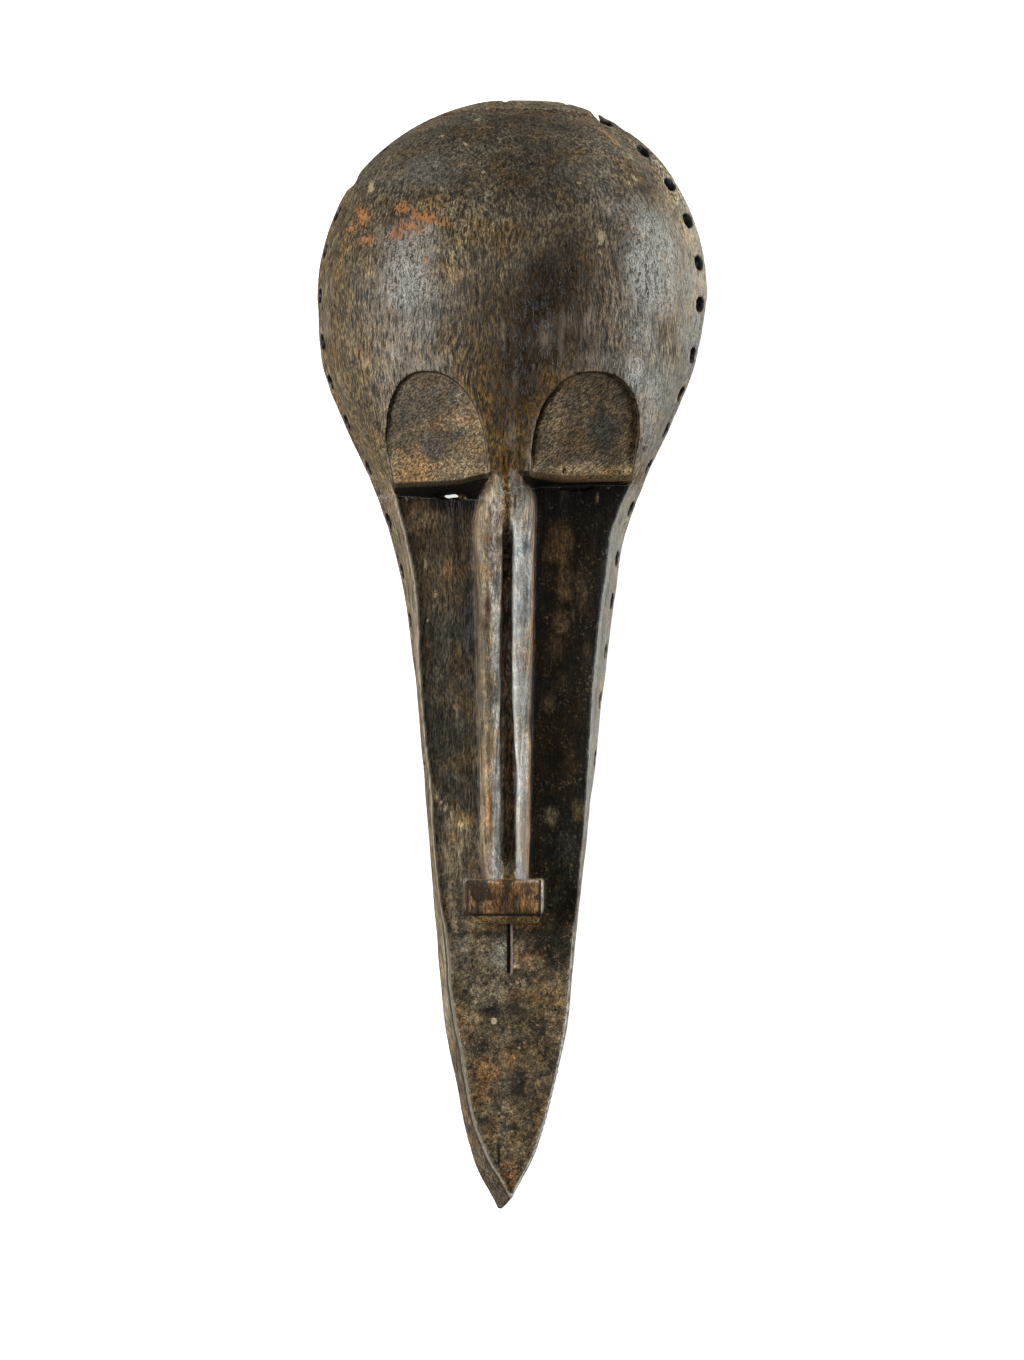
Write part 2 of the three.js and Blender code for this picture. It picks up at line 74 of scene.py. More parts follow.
# nose ridges, left: Y, outer side, crest line, inner side, height; right: Y, inner side, crest line, outer side, height
RIDGE_LEFT = [(-124, -15.6, -10.6, -5.8, 57.0), (-112, -17.3, -10.8, -6.0, 57.6), (-60, -18.3, -10.6, -5.3, 61.0),
              (0, -19.4, -10.4, -5.3, 66.5), (46, -20.5, -11.2, -5.4, 73.0), (70, -20.9, -11.0, -4.6, 77.5),
              (80, -19.7, -10.0, -4.7, 80.5), (87, -17.6, -8.9, -5.1, 83.0), (93, -14.2, -8.2, -5.6, 85.6),
              (98, -10.6, -7.6, -6.0, 87.8), (104, -10.0, -7.6, -6.0, 89.5)]
RIDGE_RIGHT = [(-124, 2.9, 6.0, 8.6, 57.0), (-112, 2.3, 5.8, 8.8, 57.6), (-60, 1.1, 5.2, 10.2, 61.0),
               (0, -1.1, 4.2, 11.0, 66.5), (46, -0.9, 4.4, 11.9, 73.0), (70, -0.8, 4.0, 12.4, 77.5),
               (83, -0.8, 3.0, 12.4, 81.9), (89, -0.9, 2.4, 11.4, 84.3), (92, -1.0, 1.8, 8.6, 85.4), (95, -1.1, 1.2, 5.2, 86.6),
               (99, -1.3, 0.6, 2.8, 88.2), (104, -1.3, 0.6, 2.8, 89.5)]
MOUTH = dict(left=-25.8, right=16.7, top=-122.9, edge=-141.4, bottom=-146.6, front=60.0)

# the brow in plan: its edge, and the line where its underside meets the face
BROW_EDGE = [(-80, 94.0), (-64, 94.1), (-40, 94.6), (-29, 95.2), (-20, 97.2), (-12, 98.6), (0, 99.3), (10, 99.2), (28, 97.4),
             (64, 98.6), (84, 99.0)]
BROW_FOOT = [(-80, 88.0), (-64, 87.2), (-52, 85.8), (-34, 85.6), (-18, 84.6), (-4, 86.0), (4, 90.0), (15, 91.1), (40, 91.9),
             (64, 92.8), (84, 93.5)]
# the two flat pads over it: top of the outline, half width and roundness to each side, and the tilted plane
PADS = [dict(side=-1, peak=-47.5, head=152.0, outer=20.6, outer_low=118, outer_round=2.3, inner=33.8, inner_low=98,
             inner_round=2.2, height=78.8, tilt_x=0.40, tilt_y=0.296),
        dict(side=1, peak=44.5, head=151.8, outer=24.0, outer_low=122, outer_round=2.4, inner=34.2, inner_low=100,
             inner_round=2.2, height=77.6, tilt_x=-0.40, tilt_y=0.33)]

RIM_HOLES_RIGHT = [301.2, 285.0, 265.6, 244.5, 219.8, 195.4, 167, 145, 125, 105, 81.5, 54, 30.5, 2, -25, -57]
RIM_HOLES_LEFT = [300, 284, 265.5, 247.5, 226, 201, 175, 152, 129.5, 104, 75, 47, 20, -7, -34, -62]


# ------------------------------------------------------------------ small helpers
def smooth(a, b, v):
    t = np.clip((v - a) / (b - a), 0, 1)
    return t * t * (3 - 2 * t)


def mix(a, b, t):
    return a + (b - a) * t


def through(stations, column=1):
    """a smooth curve through stations that never overshoots them"""
    ys = np.array([s[0] for s in stations], float)
    vs = np.array([s[column] for s in stations], float)
    slope = np.diff(vs) / np.diff(ys)
    m = np.zeros_like(vs)
    m[0], m[-1] = slope[0], slope[-1]
    for i in range(1, len(vs) - 1):
        a, b = slope[i - 1], slope[i]
        m[i] = 0 if a * b <= 0 else 2 * a * b / (a + b)

    def f(y):
        v = np.clip(y, ys[0], ys[-1])
        i = np.clip(np.searchsorted(ys, v, side='right') - 1, 0, len(ys) - 2)
        d = ys[i + 1] - ys[i]
        t = (v - ys[i]) / d
        return ((2 * t ** 3 - 3 * t ** 2 + 1) * vs[i] + (t ** 3 - 2 * t ** 2 + t) * d * m[i]
                + (-2 * t ** 3 + 3 * t ** 2) * vs[i + 1] + (t ** 3 - t ** 2) * d * m[i + 1])
    return f


def smin(a, b, k):
    h = np.maximum(k - np.abs(a - b), 0)
    return np.minimum(a, b) - h * h / (4 * k)


def smax(a, b, k):
    h = np.maximum(k - np.abs(a - b), 0)
    return np.maximum(a, b) + h * h / (4 * k)


outline_below = through(OUTLINE)
rim_middle = through(RIM_MIDDLE)
front_middle = through(FRONT_MIDDLE)
lip_z = through(LIP_Z)
wall_inset = through(WALL_INSET)
stray = {-1: through(STRAY_LEFT), 1: through(STRAY_RIGHT)}
brow_edge = through(BROW_EDGE)
brow_foot = through(BROW_FOOT)


def half_width(y):
    e = np.clip((y - DOME_MID) / (CROWN_VIRTUAL - DOME_MID), 0, 1)
    above = DOME_HALF_WIDTH * (1 - e ** CROWN_POWER) ** (1 / CROWN_POWER)
    return np.where(y <= DOME_MID, outline_below(y), above)


def crest(y):
    e = np.clip((y - APEX_Y) / (CROWN_VIRTUAL - APEX_Y), 0, 1)
    above = APEX_Z * (1 - e ** 2.1) ** 0.62
    back = APEX_Z - (APEX_Z - BROW_CREST) * np.clip((APEX_Y - y) / (APEX_Y - BROW_Y), 0, None) ** 1.8
    low = mix(lip_z(y) + 24, BROW_CREST, smooth(BROW_Y - 60, BROW_Y, y))
    return np.where(y >= APEX_Y, above, np.where(y >= BROW_Y, back, low))


def section_power(y):
    return mix(6, mix(3.1, 2.15, smooth(92, 185, y)), smooth(40, 96, y))


def domeness(y):
    return smooth(30, 98, y)


def lean_right(y):
    return mix(0.05, 0.36, smooth(100, 200, y)) - 0.06 * smooth(240, 300, y)


def prow(y, z):
    return PROW_LEAN * z * (1 - smooth(-300, -170, y))


def block_half(y, z, side):
    """half width of the uncut block at station y and height z"""
    h, a, zl = np.maximum(crest(y), 1.0), np.maximum(half_width(y), 0.5), lip_z(y)
    zeta = np.clip(z / h, 0, 1)
    lean = (0.14 if side < 0 else lean_right(y)) * h / np.maximum(a, 20)
    round_part = 1 - lean * zeta * (1 - zeta)
    straight = 1 - wall_inset(y) / a * np.clip(z / zl, 0, 1.25) * 0.86
    return a * np.maximum(mix(straight, round_part, domeness(y)), 0.05) + side * stray[side](y) * np.clip(z / zl, 0, 1.25)


def block_x(y, z, side):
    """outer x of the block at station y (before the prow lean) and height z"""
    p, h = section_power(y), np.maximum(crest(y), 1.0)
    zeta = np.clip(z / h, 0, 1)
    middle = mix(rim_middle(y), front_middle(y), np.clip(z / lip_z(y), 0, 1))
    return middle + side * block_half(y, z, side) * (1 - zeta ** p) ** (1 / p)


def surface_z(x, y):
    """height of the block's surface over one point of the plan"""
    side = -1 if x < front_middle(y) else 1
    lo, hi = 0.0, float(crest(y))
    for _ in range(40):
        t = (lo + hi) / 2
        if side * (float(block_x(y, t, side)) - x) > 0:
            lo = t
        else:
            hi = t
    return lo


# ------------------------------------------------------------------ noise, always the same
def lattice(ix, iy, iz, seed):
    n = (ix * np.uint32(73856093)) ^ (iy * np.uint32(19349663)) ^ (iz * np.uint32(83492791)) ^ np.uint32(seed * 7919 + 17)
    n = (n << np.uint32(13)) ^ n
    n = n * (n * n * np.uint32(15731) + np.uint32(789221)) + np.uint32(1376312589)
    return (n & np.uint32(0x7fffffff)).astype(F) / F(0x7fffffff)


def noise(p, scale, seed=1):
    """value noise of points p (n,3) in mm, cells of scale mm (a number or three), from -1 to 1"""
    q = p / np.array(scale, float) + 512.0
    i = np.floor(q).astype(np.int64)
    f = (q - i).astype(F)
    f = f * f * (3 - 2 * f)
    i = i.astype(np.uint32)
    out = 0
    for dx in (0, 1):
        wx = f[:, 0] if dx else 1 - f[:, 0]
        for dy in (0, 1):
            wy = f[:, 1] if dy else 1 - f[:, 1]
            for dz in (0, 1):
                wz = f[:, 2] if dz else 1 - f[:, 2]
                out = out + wx * wy * wz * lattice(i[:, 0] + np.uint32(dx), i[:, 1] + np.uint32(dy), i[:, 2] + np.uint32(dz), seed)
    return out * 2 - 1


def rough_noise(p, scale, seed=1, octaves=3):
    s, out, total = np.array(scale, float) * np.ones(3), 0, 0
    for k in range(octaves):
        out = out + noise(p, s / 2 ** k, seed + 31 * k) * 0.55 ** k
        total += 0.55 ** k
    return out / total


# ------------------------------------------------------------------ the carving as a distance field
STEP = 1.0
xs = np.arange(-114, 114.01, STEP)
ys = np.arange(-315, 315.01, STEP)
zs = np.arange(-4, 105.01, STEP)
SHAPE = (len(xs), len(ys), len(zs))
ORIGIN = np.array([xs[0], ys[0], zs[0]])


def window(x0, x1, y0, y1, z0, z1):
    """a slice of the grid and its coordinates"""
    i = slice(max(int((x0 - xs[0]) / STEP), 0), int((x1 - xs[0]) / STEP) + 2)
    j = slice(max(int((y0 - ys[0]) / STEP), 0), int((y1 - ys[0]) / STEP) + 2)
    k = slice(max(int((z0 - zs[0]) / STEP), 0), int((z1 - zs[0]) / STEP) + 2)
    return (i, j, k), xs[i].astype(F)[:, None, None], ys[j].astype(F)[None, :, None], zs[k].astype(F)[None, None, :]


def true_distance(g, cap=9.0):
    """turn a field that is zero on a surface into millimetres near it"""
    gx, gy, gz = np.gradient(g, STEP)
    return np.clip(g / np.maximum(np.sqrt(gx * gx + gy * gy + gz * gz), 1e-4), -cap, cap).astype(F)


def block_field():
    Y, Z = np.meshgrid(ys, zs, indexing='ij')
    zc = np.clip(Z, 0, None)
    y0 = Y.copy()
    for _ in range(4):
        y0 = Y - prow(y0, zc)
    h = np.maximum(crest(y0), 3.0)
    p = section_power(y0)
    zeta = (zc / h)
    middle = mix(rim_middle(y0), front_middle(y0), np.clip(zc / lip_z(y0), 0, 1))
    wl = np.maximum(block_half(y0, zc, -1), 0.4)
    wr = np.maximum(block_half(y0, zc, 1), 0.4)
    dx = xs.astype(F)[:, None, None] - middle.astype(F)[None]
    w = np.where(dx < 0, wl.astype(F)[None], wr.astype(F)[None])
    p = p.astype(F)[None]
    g = ((np.abs(dx) / w) ** p + (zeta.astype(F)[None]) ** p) ** (1 / p) - 1
    d = true_distance(g)
    ends = np.maximum(-HALF_LENGTH - y0, Y - HALF_LENGTH).astype(F)
    return smax(d, ends[None], 1.2)


def edge_tables():
    """the side walls' front edges as functions of y: x left, x right, height"""
    y0 = np.linspace(-309.5, 110, 500)
    z = lip_z(y0)
    return y0 + prow(y0, z), block_x(y0, z, -1), block_x(y0, z, 1), z


EDGE_Y, EDGE_LEFT, EDGE_RIGHT, EDGE_Z = edge_tables()


def pad_height(pad, x, y):
    return pad['height'] + pad['tilt_x'] * (x - pad['peak']) + pad['tilt_y'] * (y - 120)


def pad_plan(pad, x, y):
    """about the distance from the pad's outline in plan, positive outside"""
    s = pad['side'] * (x - pad['peak'])
    out = s > 0
    low = np.where(out, pad['outer_low'], pad['inner_low'])
    half = np.where(out, pad['outer'] - 0.17 * np.clip(pad['outer_low'] - 3 - y, 0, 40), pad['inner'])
    n = np.where(out, pad['outer_round'], pad['inner_round'])
    ay = np.clip((y - low) / (pad['head'] - low), 0, None)
    r = ((np.abs(s) / half) ** n + ay ** n) ** (1 / n)
    return (r - 1) * half


def ridge_field(table, x, y, z, base):
    yy = y[0, :, 0]
    left, mid, right, top = [through(table, c)(yy)[None, :, None].astype(F) for c in (1, 2, 3, 4)]
    near = smooth(52, 97, yy)[None, :, None].astype(F)
    inner_low = smooth(15, 45, yy)[None, :, None].astype(F) if table is RIDGE_LEFT else 0
    p_out, p_in = mix(3.3, 1.75, near), mix(3.6, 5.0, near) + 4.0 * inner_low * (1 - near)
    dx = x - mid
    a = np.where(dx < 0, mid - left, right - mid)
    outer = (dx < 0) if table is RIDGE_LEFT else (dx >= 0)
    p = np.where(outer, p_out, p_in)
    hz = np.maximum(z - base, 0) / (top - base)
    g = ((np.abs(dx) / a) ** p + hz ** p) ** (1 / p) - 1
    return true_distance(np.broadcast_to(g, np.broadcast_shapes(x.shape, y.shape, z.shape)).astype(F))


def brow_top(xf):
    """height of the forehead's surface along the brow edge"""
    top = np.array([min(surface_z(v, 97.0), 91.0) for v in np.clip(xf, -76, 76)])
    for pad in PADS:
        flat = pad_height(pad, xf, 96.5)
        inside = smooth(1.0, -1.0, pad_plan(pad, xf, 97.0))
        top = mix(top, np.minimum(flat, top), inside)
    return top


def build_field():
    d = block_field()

    # --- near the rim the wall leans in, most on the right and round the crown
    w, x, y, z = window(-114, 114, -100, 315, 0, 70)
    right = smooth(-25, 35, x)
    lean = (mix(0.3, 0.5, right) + 0.5 * right * smooth(215, 262, y)) * mix(0.7 * smooth(-90, -60, y), 1.0, smooth(45, 90, y)) * (1 - 0.9 * smooth(291, 313, y))
    d[w] += (4.3 * smooth(-1, 17, z) * (1 - smooth(17, 62, z)) * lean).astype(F)
    d[w] -= (1.1 * smooth(10, 30, x) * smooth(-85, -60, y) * smooth(62, 35, y) * (1 - smooth(25, 45, z))).astype(F)

    # --- two flat pads over the brow, sunk a little into the dome
    for pad in PADS:
        lo, hi = sorted((pad['peak'] + pad['side'] * pad['outer'], pad['peak'] - pad['side'] * pad['inner']))
        w, x, y, z = window(lo - 6, hi + 6, 90, 160, 40, 104)
        above = (pad_height(pad, x, y) - z) * 0.87
        plan = pad_plan(pad, x, y)
        cut = np.maximum(above, plan * 0.9)
        d[w] = smax(d[w], -cut.astype(F), 0.6)
        if pad['side'] > 0:
            # the knife went deeper along this pad's inner edge
            groove = np.maximum(np.abs(plan) - 0.75, above - 1.6 * smooth(98, 112, y) * smooth(150, 140, y))
            groove = np.maximum(groove, np.where(x < pad['peak'] - 8, -9.0, 9.0))
            d[w] = smax(d[w], -np.broadcast_to(groove, d[w].shape).astype(F), 0.4)

    # --- the brow: everything in front of the face below it is cut away
    w, x, y, z = window(-112, 112, -316, 112, 10, 106)
    zf = lip_z(y)
    xf = x[:, 0, 0].astype(float)
    zt = brow_top(xf)[:, None, None]
    edge, foot = brow_edge(xf)[:, None, None], brow_foot(xf)[:, None, None]
    z0 = float(lip_z(88.0))
    lean = (edge - 2.2 - foot) / np.maximum(zt - z0 - 1.5, 6.0)
    under = foot + lean * (z - z0)
    bevel = edge + 0.85 * (z - zt)
    cut_y = smax(under, bevel, 0.6)
    dy = (y - cut_y) / np.sqrt(1 + lean ** 2)
    cutter = smax(dy, zf - z, 1.4)
    d[w] = smax(d[w], -cutter.astype(F), 0.7)

    # --- the sunk face panel inside its narrow border
    w, x, y, z = window(-66, 66, -306, 98, 18, 70)
    yy = y[0, :, 0]
    xl = (np.interp(yy, EDGE_Y, EDGE_LEFT) + LIP_WIDTH)[None, :, None]
    xr = (np.interp(yy, EDGE_Y, EDGE_RIGHT) - mix(1.0, LIP_WIDTH, smooth(-160, -60, yy)))[None, :, None]
    half = np.maximum((xr - xl) / 2, 0.2)
    mid = (xl + xr) / 2
    floor_z = (np.interp(yy, EDGE_Y, EDGE_Z) - PANEL_SINK)[None, :, None]
    u = np.clip(np.abs(x - mid) / half, 0, 1)
    floor_z = floor_z + 0.9 * u ** 6
    side = np.abs(x - mid) - half + 0.35 * (floor_z - z)
    tip = -308.0 - y + 0.4 * z
    foot = brow_foot(x[:, 0, 0])[:, None, None]
    pit = smax(smax(side, floor_z - z, 1.4), tip, 1.0)
    pit = np.maximum(pit, y - foot - 1.0)
    d[w] = smax(d[w], -pit.astype(F), 0.8)

    # --- the nose: two ridges with a deep groove, a web at its bottom
    w, x, y, z = window(-27, 19, -128, 104, 30, 94)
    yy = y[0, :, 0]
    base = (np.interp(yy, EDGE_Y, EDGE_Z) - PANEL_SINK - 3)[None, :, None].astype(F)
    a = ridge_field(RIDGE_LEFT, x, y, z, base)
    b = ridge_field(RIDGE_RIGHT, x, y, z, base)
    web_z = base + 3 + 6.0 + 26.5 * smooth(42, 98, yy)[None, :, None] + 7.0 * (1 - smooth(-121, -106, yy))[None, :, None]
    web = np.maximum(np.abs(x + 2.0) - 7.0, z - web_z)
    nose = smin(smin(a, b, 0.5), web.astype(F), 1.6)
    nose = np.maximum(nose, y - 102.0)
    nose = np.maximum(nose, -125.5 - y)
    d[w] = smin(d[w], nose.astype(F), 1.4)

    # --- the mouth block
    m = MOUTH
    w, x, y, z = window(m['left'] - 5, m['right'] + 5, m['bottom'] - 5, m['top'] + 6, 34, 64)
    sides = np.maximum(m['left'] - 0.03 * (m['front'] - z) - x, x - m['right'] - 0.04 * (m['front'] - z))
    ends = np.maximum(y - m['top'] - 0.04 * (m['front'] - z), m['bottom'] - y)
    box = smax(smax(sides, ends, 2.4), z - m['front'], 0.5)
    box = smax(box, (m['edge'] - y) * 0.84 + (z - m['front']) * 0.55, 0.6)            # bevel below
    box = smax(box, (x - (m['right'] - 1.3)) * 0.72 + (z - m['front']) * 0.69, 0.4)   # and to the right
    box = smax(box, (y - (m['top'] - 0.8)) * 0.7 + (z - m['front']) * 0.7, 0.4)
    box = smax(box, ((m['left'] + 4.2 - x) + (m['bottom'] + 3.4 - y)) * 0.707, 0.8)   # cut corners
    box = smax(box, (x - m['right'] + 2.2) * 0.9 + (m['bottom'] + 1.6 - y) * 0.43, 0.8)
    d[w] = smin(d[w], box.astype(F), 1.0)

    # --- the knife slot under the mouth
    w, x, y, z = window(-8, 6, -182, -140, 30, 48)
    fz = np.interp(y[0, :, 0], EDGE_Y, EDGE_Z)[None, :, None] - PANEL_SINK
    slot = np.maximum((np.abs(x + 1.55) - 1.35) * 0.8 + (fz - z) * 0.55, fz - 2.4 - z)
    slot = np.maximum(slot, np.maximum(y + 143.0, -174.6 - y))
    d[w] = smax(d[w], -slot.astype(F), 0.5)

    # --- the hollow behind
    w, x, y, z = window(-104, 104, HOLLOW_END - 2, 303, -4, 96)
    yy = y[0, :, 0].astype(float)
    e = np.clip((yy - 200) / 101.7, 0, 1)
    want = np.sqrt(np.maximum(1 - e ** 2.1, 0))
    have = np.sqrt(np.maximum(1 - np.clip((yy - DOME_MID) / (CROWN_VIRTUAL - DOME_MID), 0, 1) ** 2.1, 0.01))
    kw = np.where(yy > 200, np.minimum(1, want / have), 1.0)
    kh = np.where(yy > 200, np.clip((want / have) ** 1.25, 0, 1), 1.0)
    s = np.clip((-190 - yy) / (-190 - HOLLOW_END), 0, 1)
    k = np.sqrt(np.maximum(1 - (s * 0.985) ** 2, 0))
    kw = np.where(yy < -190, mix(k, 1, 0.15), kw)
    kh = np.where(yy < -190, mix(k, 1, 0.25), kh)
    aw = np.maximum((half_width(yy) - mix(WALL_FACE, WALL_DOME, smooth(60, 130, yy))) * kw, 0.5)[None, :, None]
    hc = mix(lip_z(yy) - PANEL_SINK - PANEL_THICKNESS, crest(yy) - 10, smooth(92, 150, yy)) * kh
    hc = np.maximum(hc, 1.0)[None, :, None]
    pw = mix(3, 2.15, smooth(70, 130, yy))[None, :, None].astype(F)
    zeta = np.clip(z, 0, None) / hc
    zc = np.clip(zeta, 0, 1)
    middle = mix(rim_middle(yy)[None, :, None], front_middle(yy)[None, :, None], np.clip(z / lip_z(yy)[None, :, None], 0, 1))
    inset = (wall_inset(yy) / half_width(yy) * (1 - domeness(yy)))[None, :, None]
    dome = domeness(yy)[None, :, None]
    wl = aw * (1 - 0.14 * zc * (1 - zc) * dome) * (1 - inset * zc)
    wr = aw * (1 - np.maximum(lean_right(yy), 0.2)[None, :, None] * zc * (1 - zc) * dome) * (1 - inset * zc)
    dx = (x - middle).astype(F)
    ww = np.where(dx < 0, wl, wr).astype(F)
    hollow = true_distance(((np.abs(dx) / ww) ** pw + zeta.astype(F) ** pw) ** (1 / pw) - 1)
    hollow = np.maximum(hollow, np.maximum(y - 300.5, HOLLOW_END - y))
    d[w] = smax(d[w], -hollow, 1.2)
    hollow_all = np.full(SHAPE, 9.0, F)
    hollow_all[w] = hollow

    # --- eye slits: a worn one that shows light, and one that runs back under the brow
    for cx, cy, half, high, turn, low, back in ((-34.2, 87.0, 8.6, 1.5, -0.03, 53.4, 0.0), (-33.5, 87.1, 4.2, 1.05, -0.04, 0.0, 0.0),
                                                (34.5, 91.2, 9.0, 1.4, 0.03, 0.0, 0.42)):
        w, x, y, z = window(cx - 16, cx + 16, cy - 8, cy + 22, 30, 60 if back else 66)
        ya = y - cy - turn * (x - cx) - back * (57 - z) - 0.25 * np.sin((x - cx) * 0.9)
        r = (np.abs((x - cx) / half) ** 2.6 + np.abs(ya / high) ** 2.6) ** (1 / 2.6)
        slit = np.maximum(np.broadcast_to((r - 1) * 1.5, d[w].shape), low - z)
        d[w] = smax(d[w], -slit.astype(F), 0.5)

    # --- holes burnt along the rim, square to it
    for n, side, hx, hy, t, o in hole_axes():
        grow = 1 + 0.08 * math.sin(n * 2.4 + side)
        w, x, y, z = window(hx - 24, hx + 24, hy - 24, hy + 24, 0, 18)
        u = (x - hx) * t[0] + (y - hy) * t[1]
        v = (x - hx) * o[0] + (y - hy) * o[1]
        r = np.sqrt((u / grow) ** 2 + (z - HOLE_HEIGHT - 0.5 * math.sin(n * 1.7)) ** 2)
        hole = np.maximum(r - HOLE_RADIUS - 0.5 * np.clip(v / 3 + 1.4, 0, 1) ** 2, np.abs(v + 4) - 16)
        d[w] = smax(d[w], -hole.astype(F), 0.6)

    # --- chips and breaks at the crown, the slot at its middle, small losses
    chips = [(30.5, 311.0, 4, 1.4, 3.4, 20, -0.2), (-4.0, 311.2, 4, 1.8, 4.0, 20, 0.0), (-89.6, 266.5, 3, 2.6, 6.0, 18, -0.52),
             (-84.0, 276.5, 5, 2.0, 2.2, 12, 0.75), (61.5, 297.5, 2, 5.5, 1.6, 4, -0.7), (-74.0, 287.0, 3, 4.0, 1.2, 8, 0.75)]
    for cx, cy, cz, rx, ry, rz, turn in chips:
        w, x, y, z = window(cx - 20, cx + 20, cy - 20, cy + 20, cz - 22, cz + 22)
        c, s_ = math.cos(turn), math.sin(turn)
        u, v = (x - cx) * c + (y - cy) * s_, -(x - cx) * s_ + (y - cy) * c
        r = np.sqrt((u / rx) ** 2 + (v / ry) ** 2 + ((z - cz) / rz) ** 2)
        d[w] = smax(d[w], -((r - 1) * min(rx, ry)).astype(F), 0.6)

    # the rim has split off beside the first hole, up to a sharp step
    w, x, y, z = window(28, 54, 292, 314, -3, 26)
    broken = 309.4 - 0.22 * (x - 31) - 1.15 * np.clip(x - 41.5, 0, None) + 0.3 * np.sin(x * 1.9)
    split = np.maximum(np.maximum(broken - y, x - 48.0 + 0.3 * (y - 302)), z - 22)
    d[w] = smax(d[w], -split.astype(F), 0.4)

    # --- the rim plane it lies on
    d = smax(d, -zs.astype(F)[None, None, :], 1.0)
    return d, hollow_all


def blurred(a, r):
    for axis in range(3):
        out = a.copy()
        for k in range(1, r + 1):
            out += np.roll(a, k, axis)
            out += np.roll(a, -k, axis)
        a = out / F(2 * r + 1)
    return a


def sample(a, p):
    """the grid's value at points p"""
    q = (p - ORIGIN) / STEP
    i = np.clip(np.floor(q).astype(int), 0, np.array(SHAPE) - 2)
    f = np.clip(q - i, 0, 1)
    out = 0
    for dx in (0, 1):
        for dy in (0, 1):
            for dz in (0, 1):
                wgt = (f[:, 0] if dx else 1 - f[:, 0]) * (f[:, 1] if dy else 1 - f[:, 1]) * (f[:, 2] if dz else 1 - f[:, 2])
                out = out + wgt * a[i[:, 0] + dx, i[:, 1] + dy, i[:, 2] + dz]
    return out


def mesh_from(field):
    grid = openvdb.FloatGrid(9.0)
    grid.copyFromArray(np.ascontiguousarray(field, dtype=F))
    points, quads = grid.convertToQuads(isovalue=0.0)
    return points.astype(float) * STEP + ORIGIN, quads.astype(np.int64)


def triangles_of(p, q):
    """each quad cut along its shorter diagonal"""
    ac = np.linalg.norm(p[q[:, 0]] - p[q[:, 2]], axis=1)
    bd = np.linalg.norm(p[q[:, 1]] - p[q[:, 3]], axis=1)
    s = (ac <= bd)[:, None]
    t1 = np.where(s, q[:, [0, 1, 2]], q[:, [0, 1, 3]])
    t2 = np.where(s, q[:, [0, 2, 3]], q[:, [1, 2, 3]])
    return np.concatenate([t1, t2])


def vertex_normals(p, t):
    n = np.cross(p[t[:, 1]] - p[t[:, 0]], p[t[:, 2]] - p[t[:, 0]])
    out = np.zeros_like(p)
    for c in range(3):
        for k in range(3):
            out[:, k] += np.bincount(t[:, c], weights=n[:, k], minlength=len(p))
    return out / np.maximum(np.linalg.norm(out, axis=1, keepdims=True), 1e-9)


def hole_axes():
    """mouth point, direction along the rim and direction outwards of each rim hole"""
    for holes, side in ((RIM_HOLES_RIGHT, 1), (RIM_HOLES_LEFT, -1)):
        for n, hy in enumerate(holes):
            edge = [float(rim_middle(v) + side * half_width(v)) for v in (hy - 1, hy, hy + 1)]
            t = np.array([(edge[2] - edge[0]) / 2, 1.0])
            t /= np.linalg.norm(t)
            yield n, side, edge[1], hy, t, np.array([side * t[1], -side * t[0]])


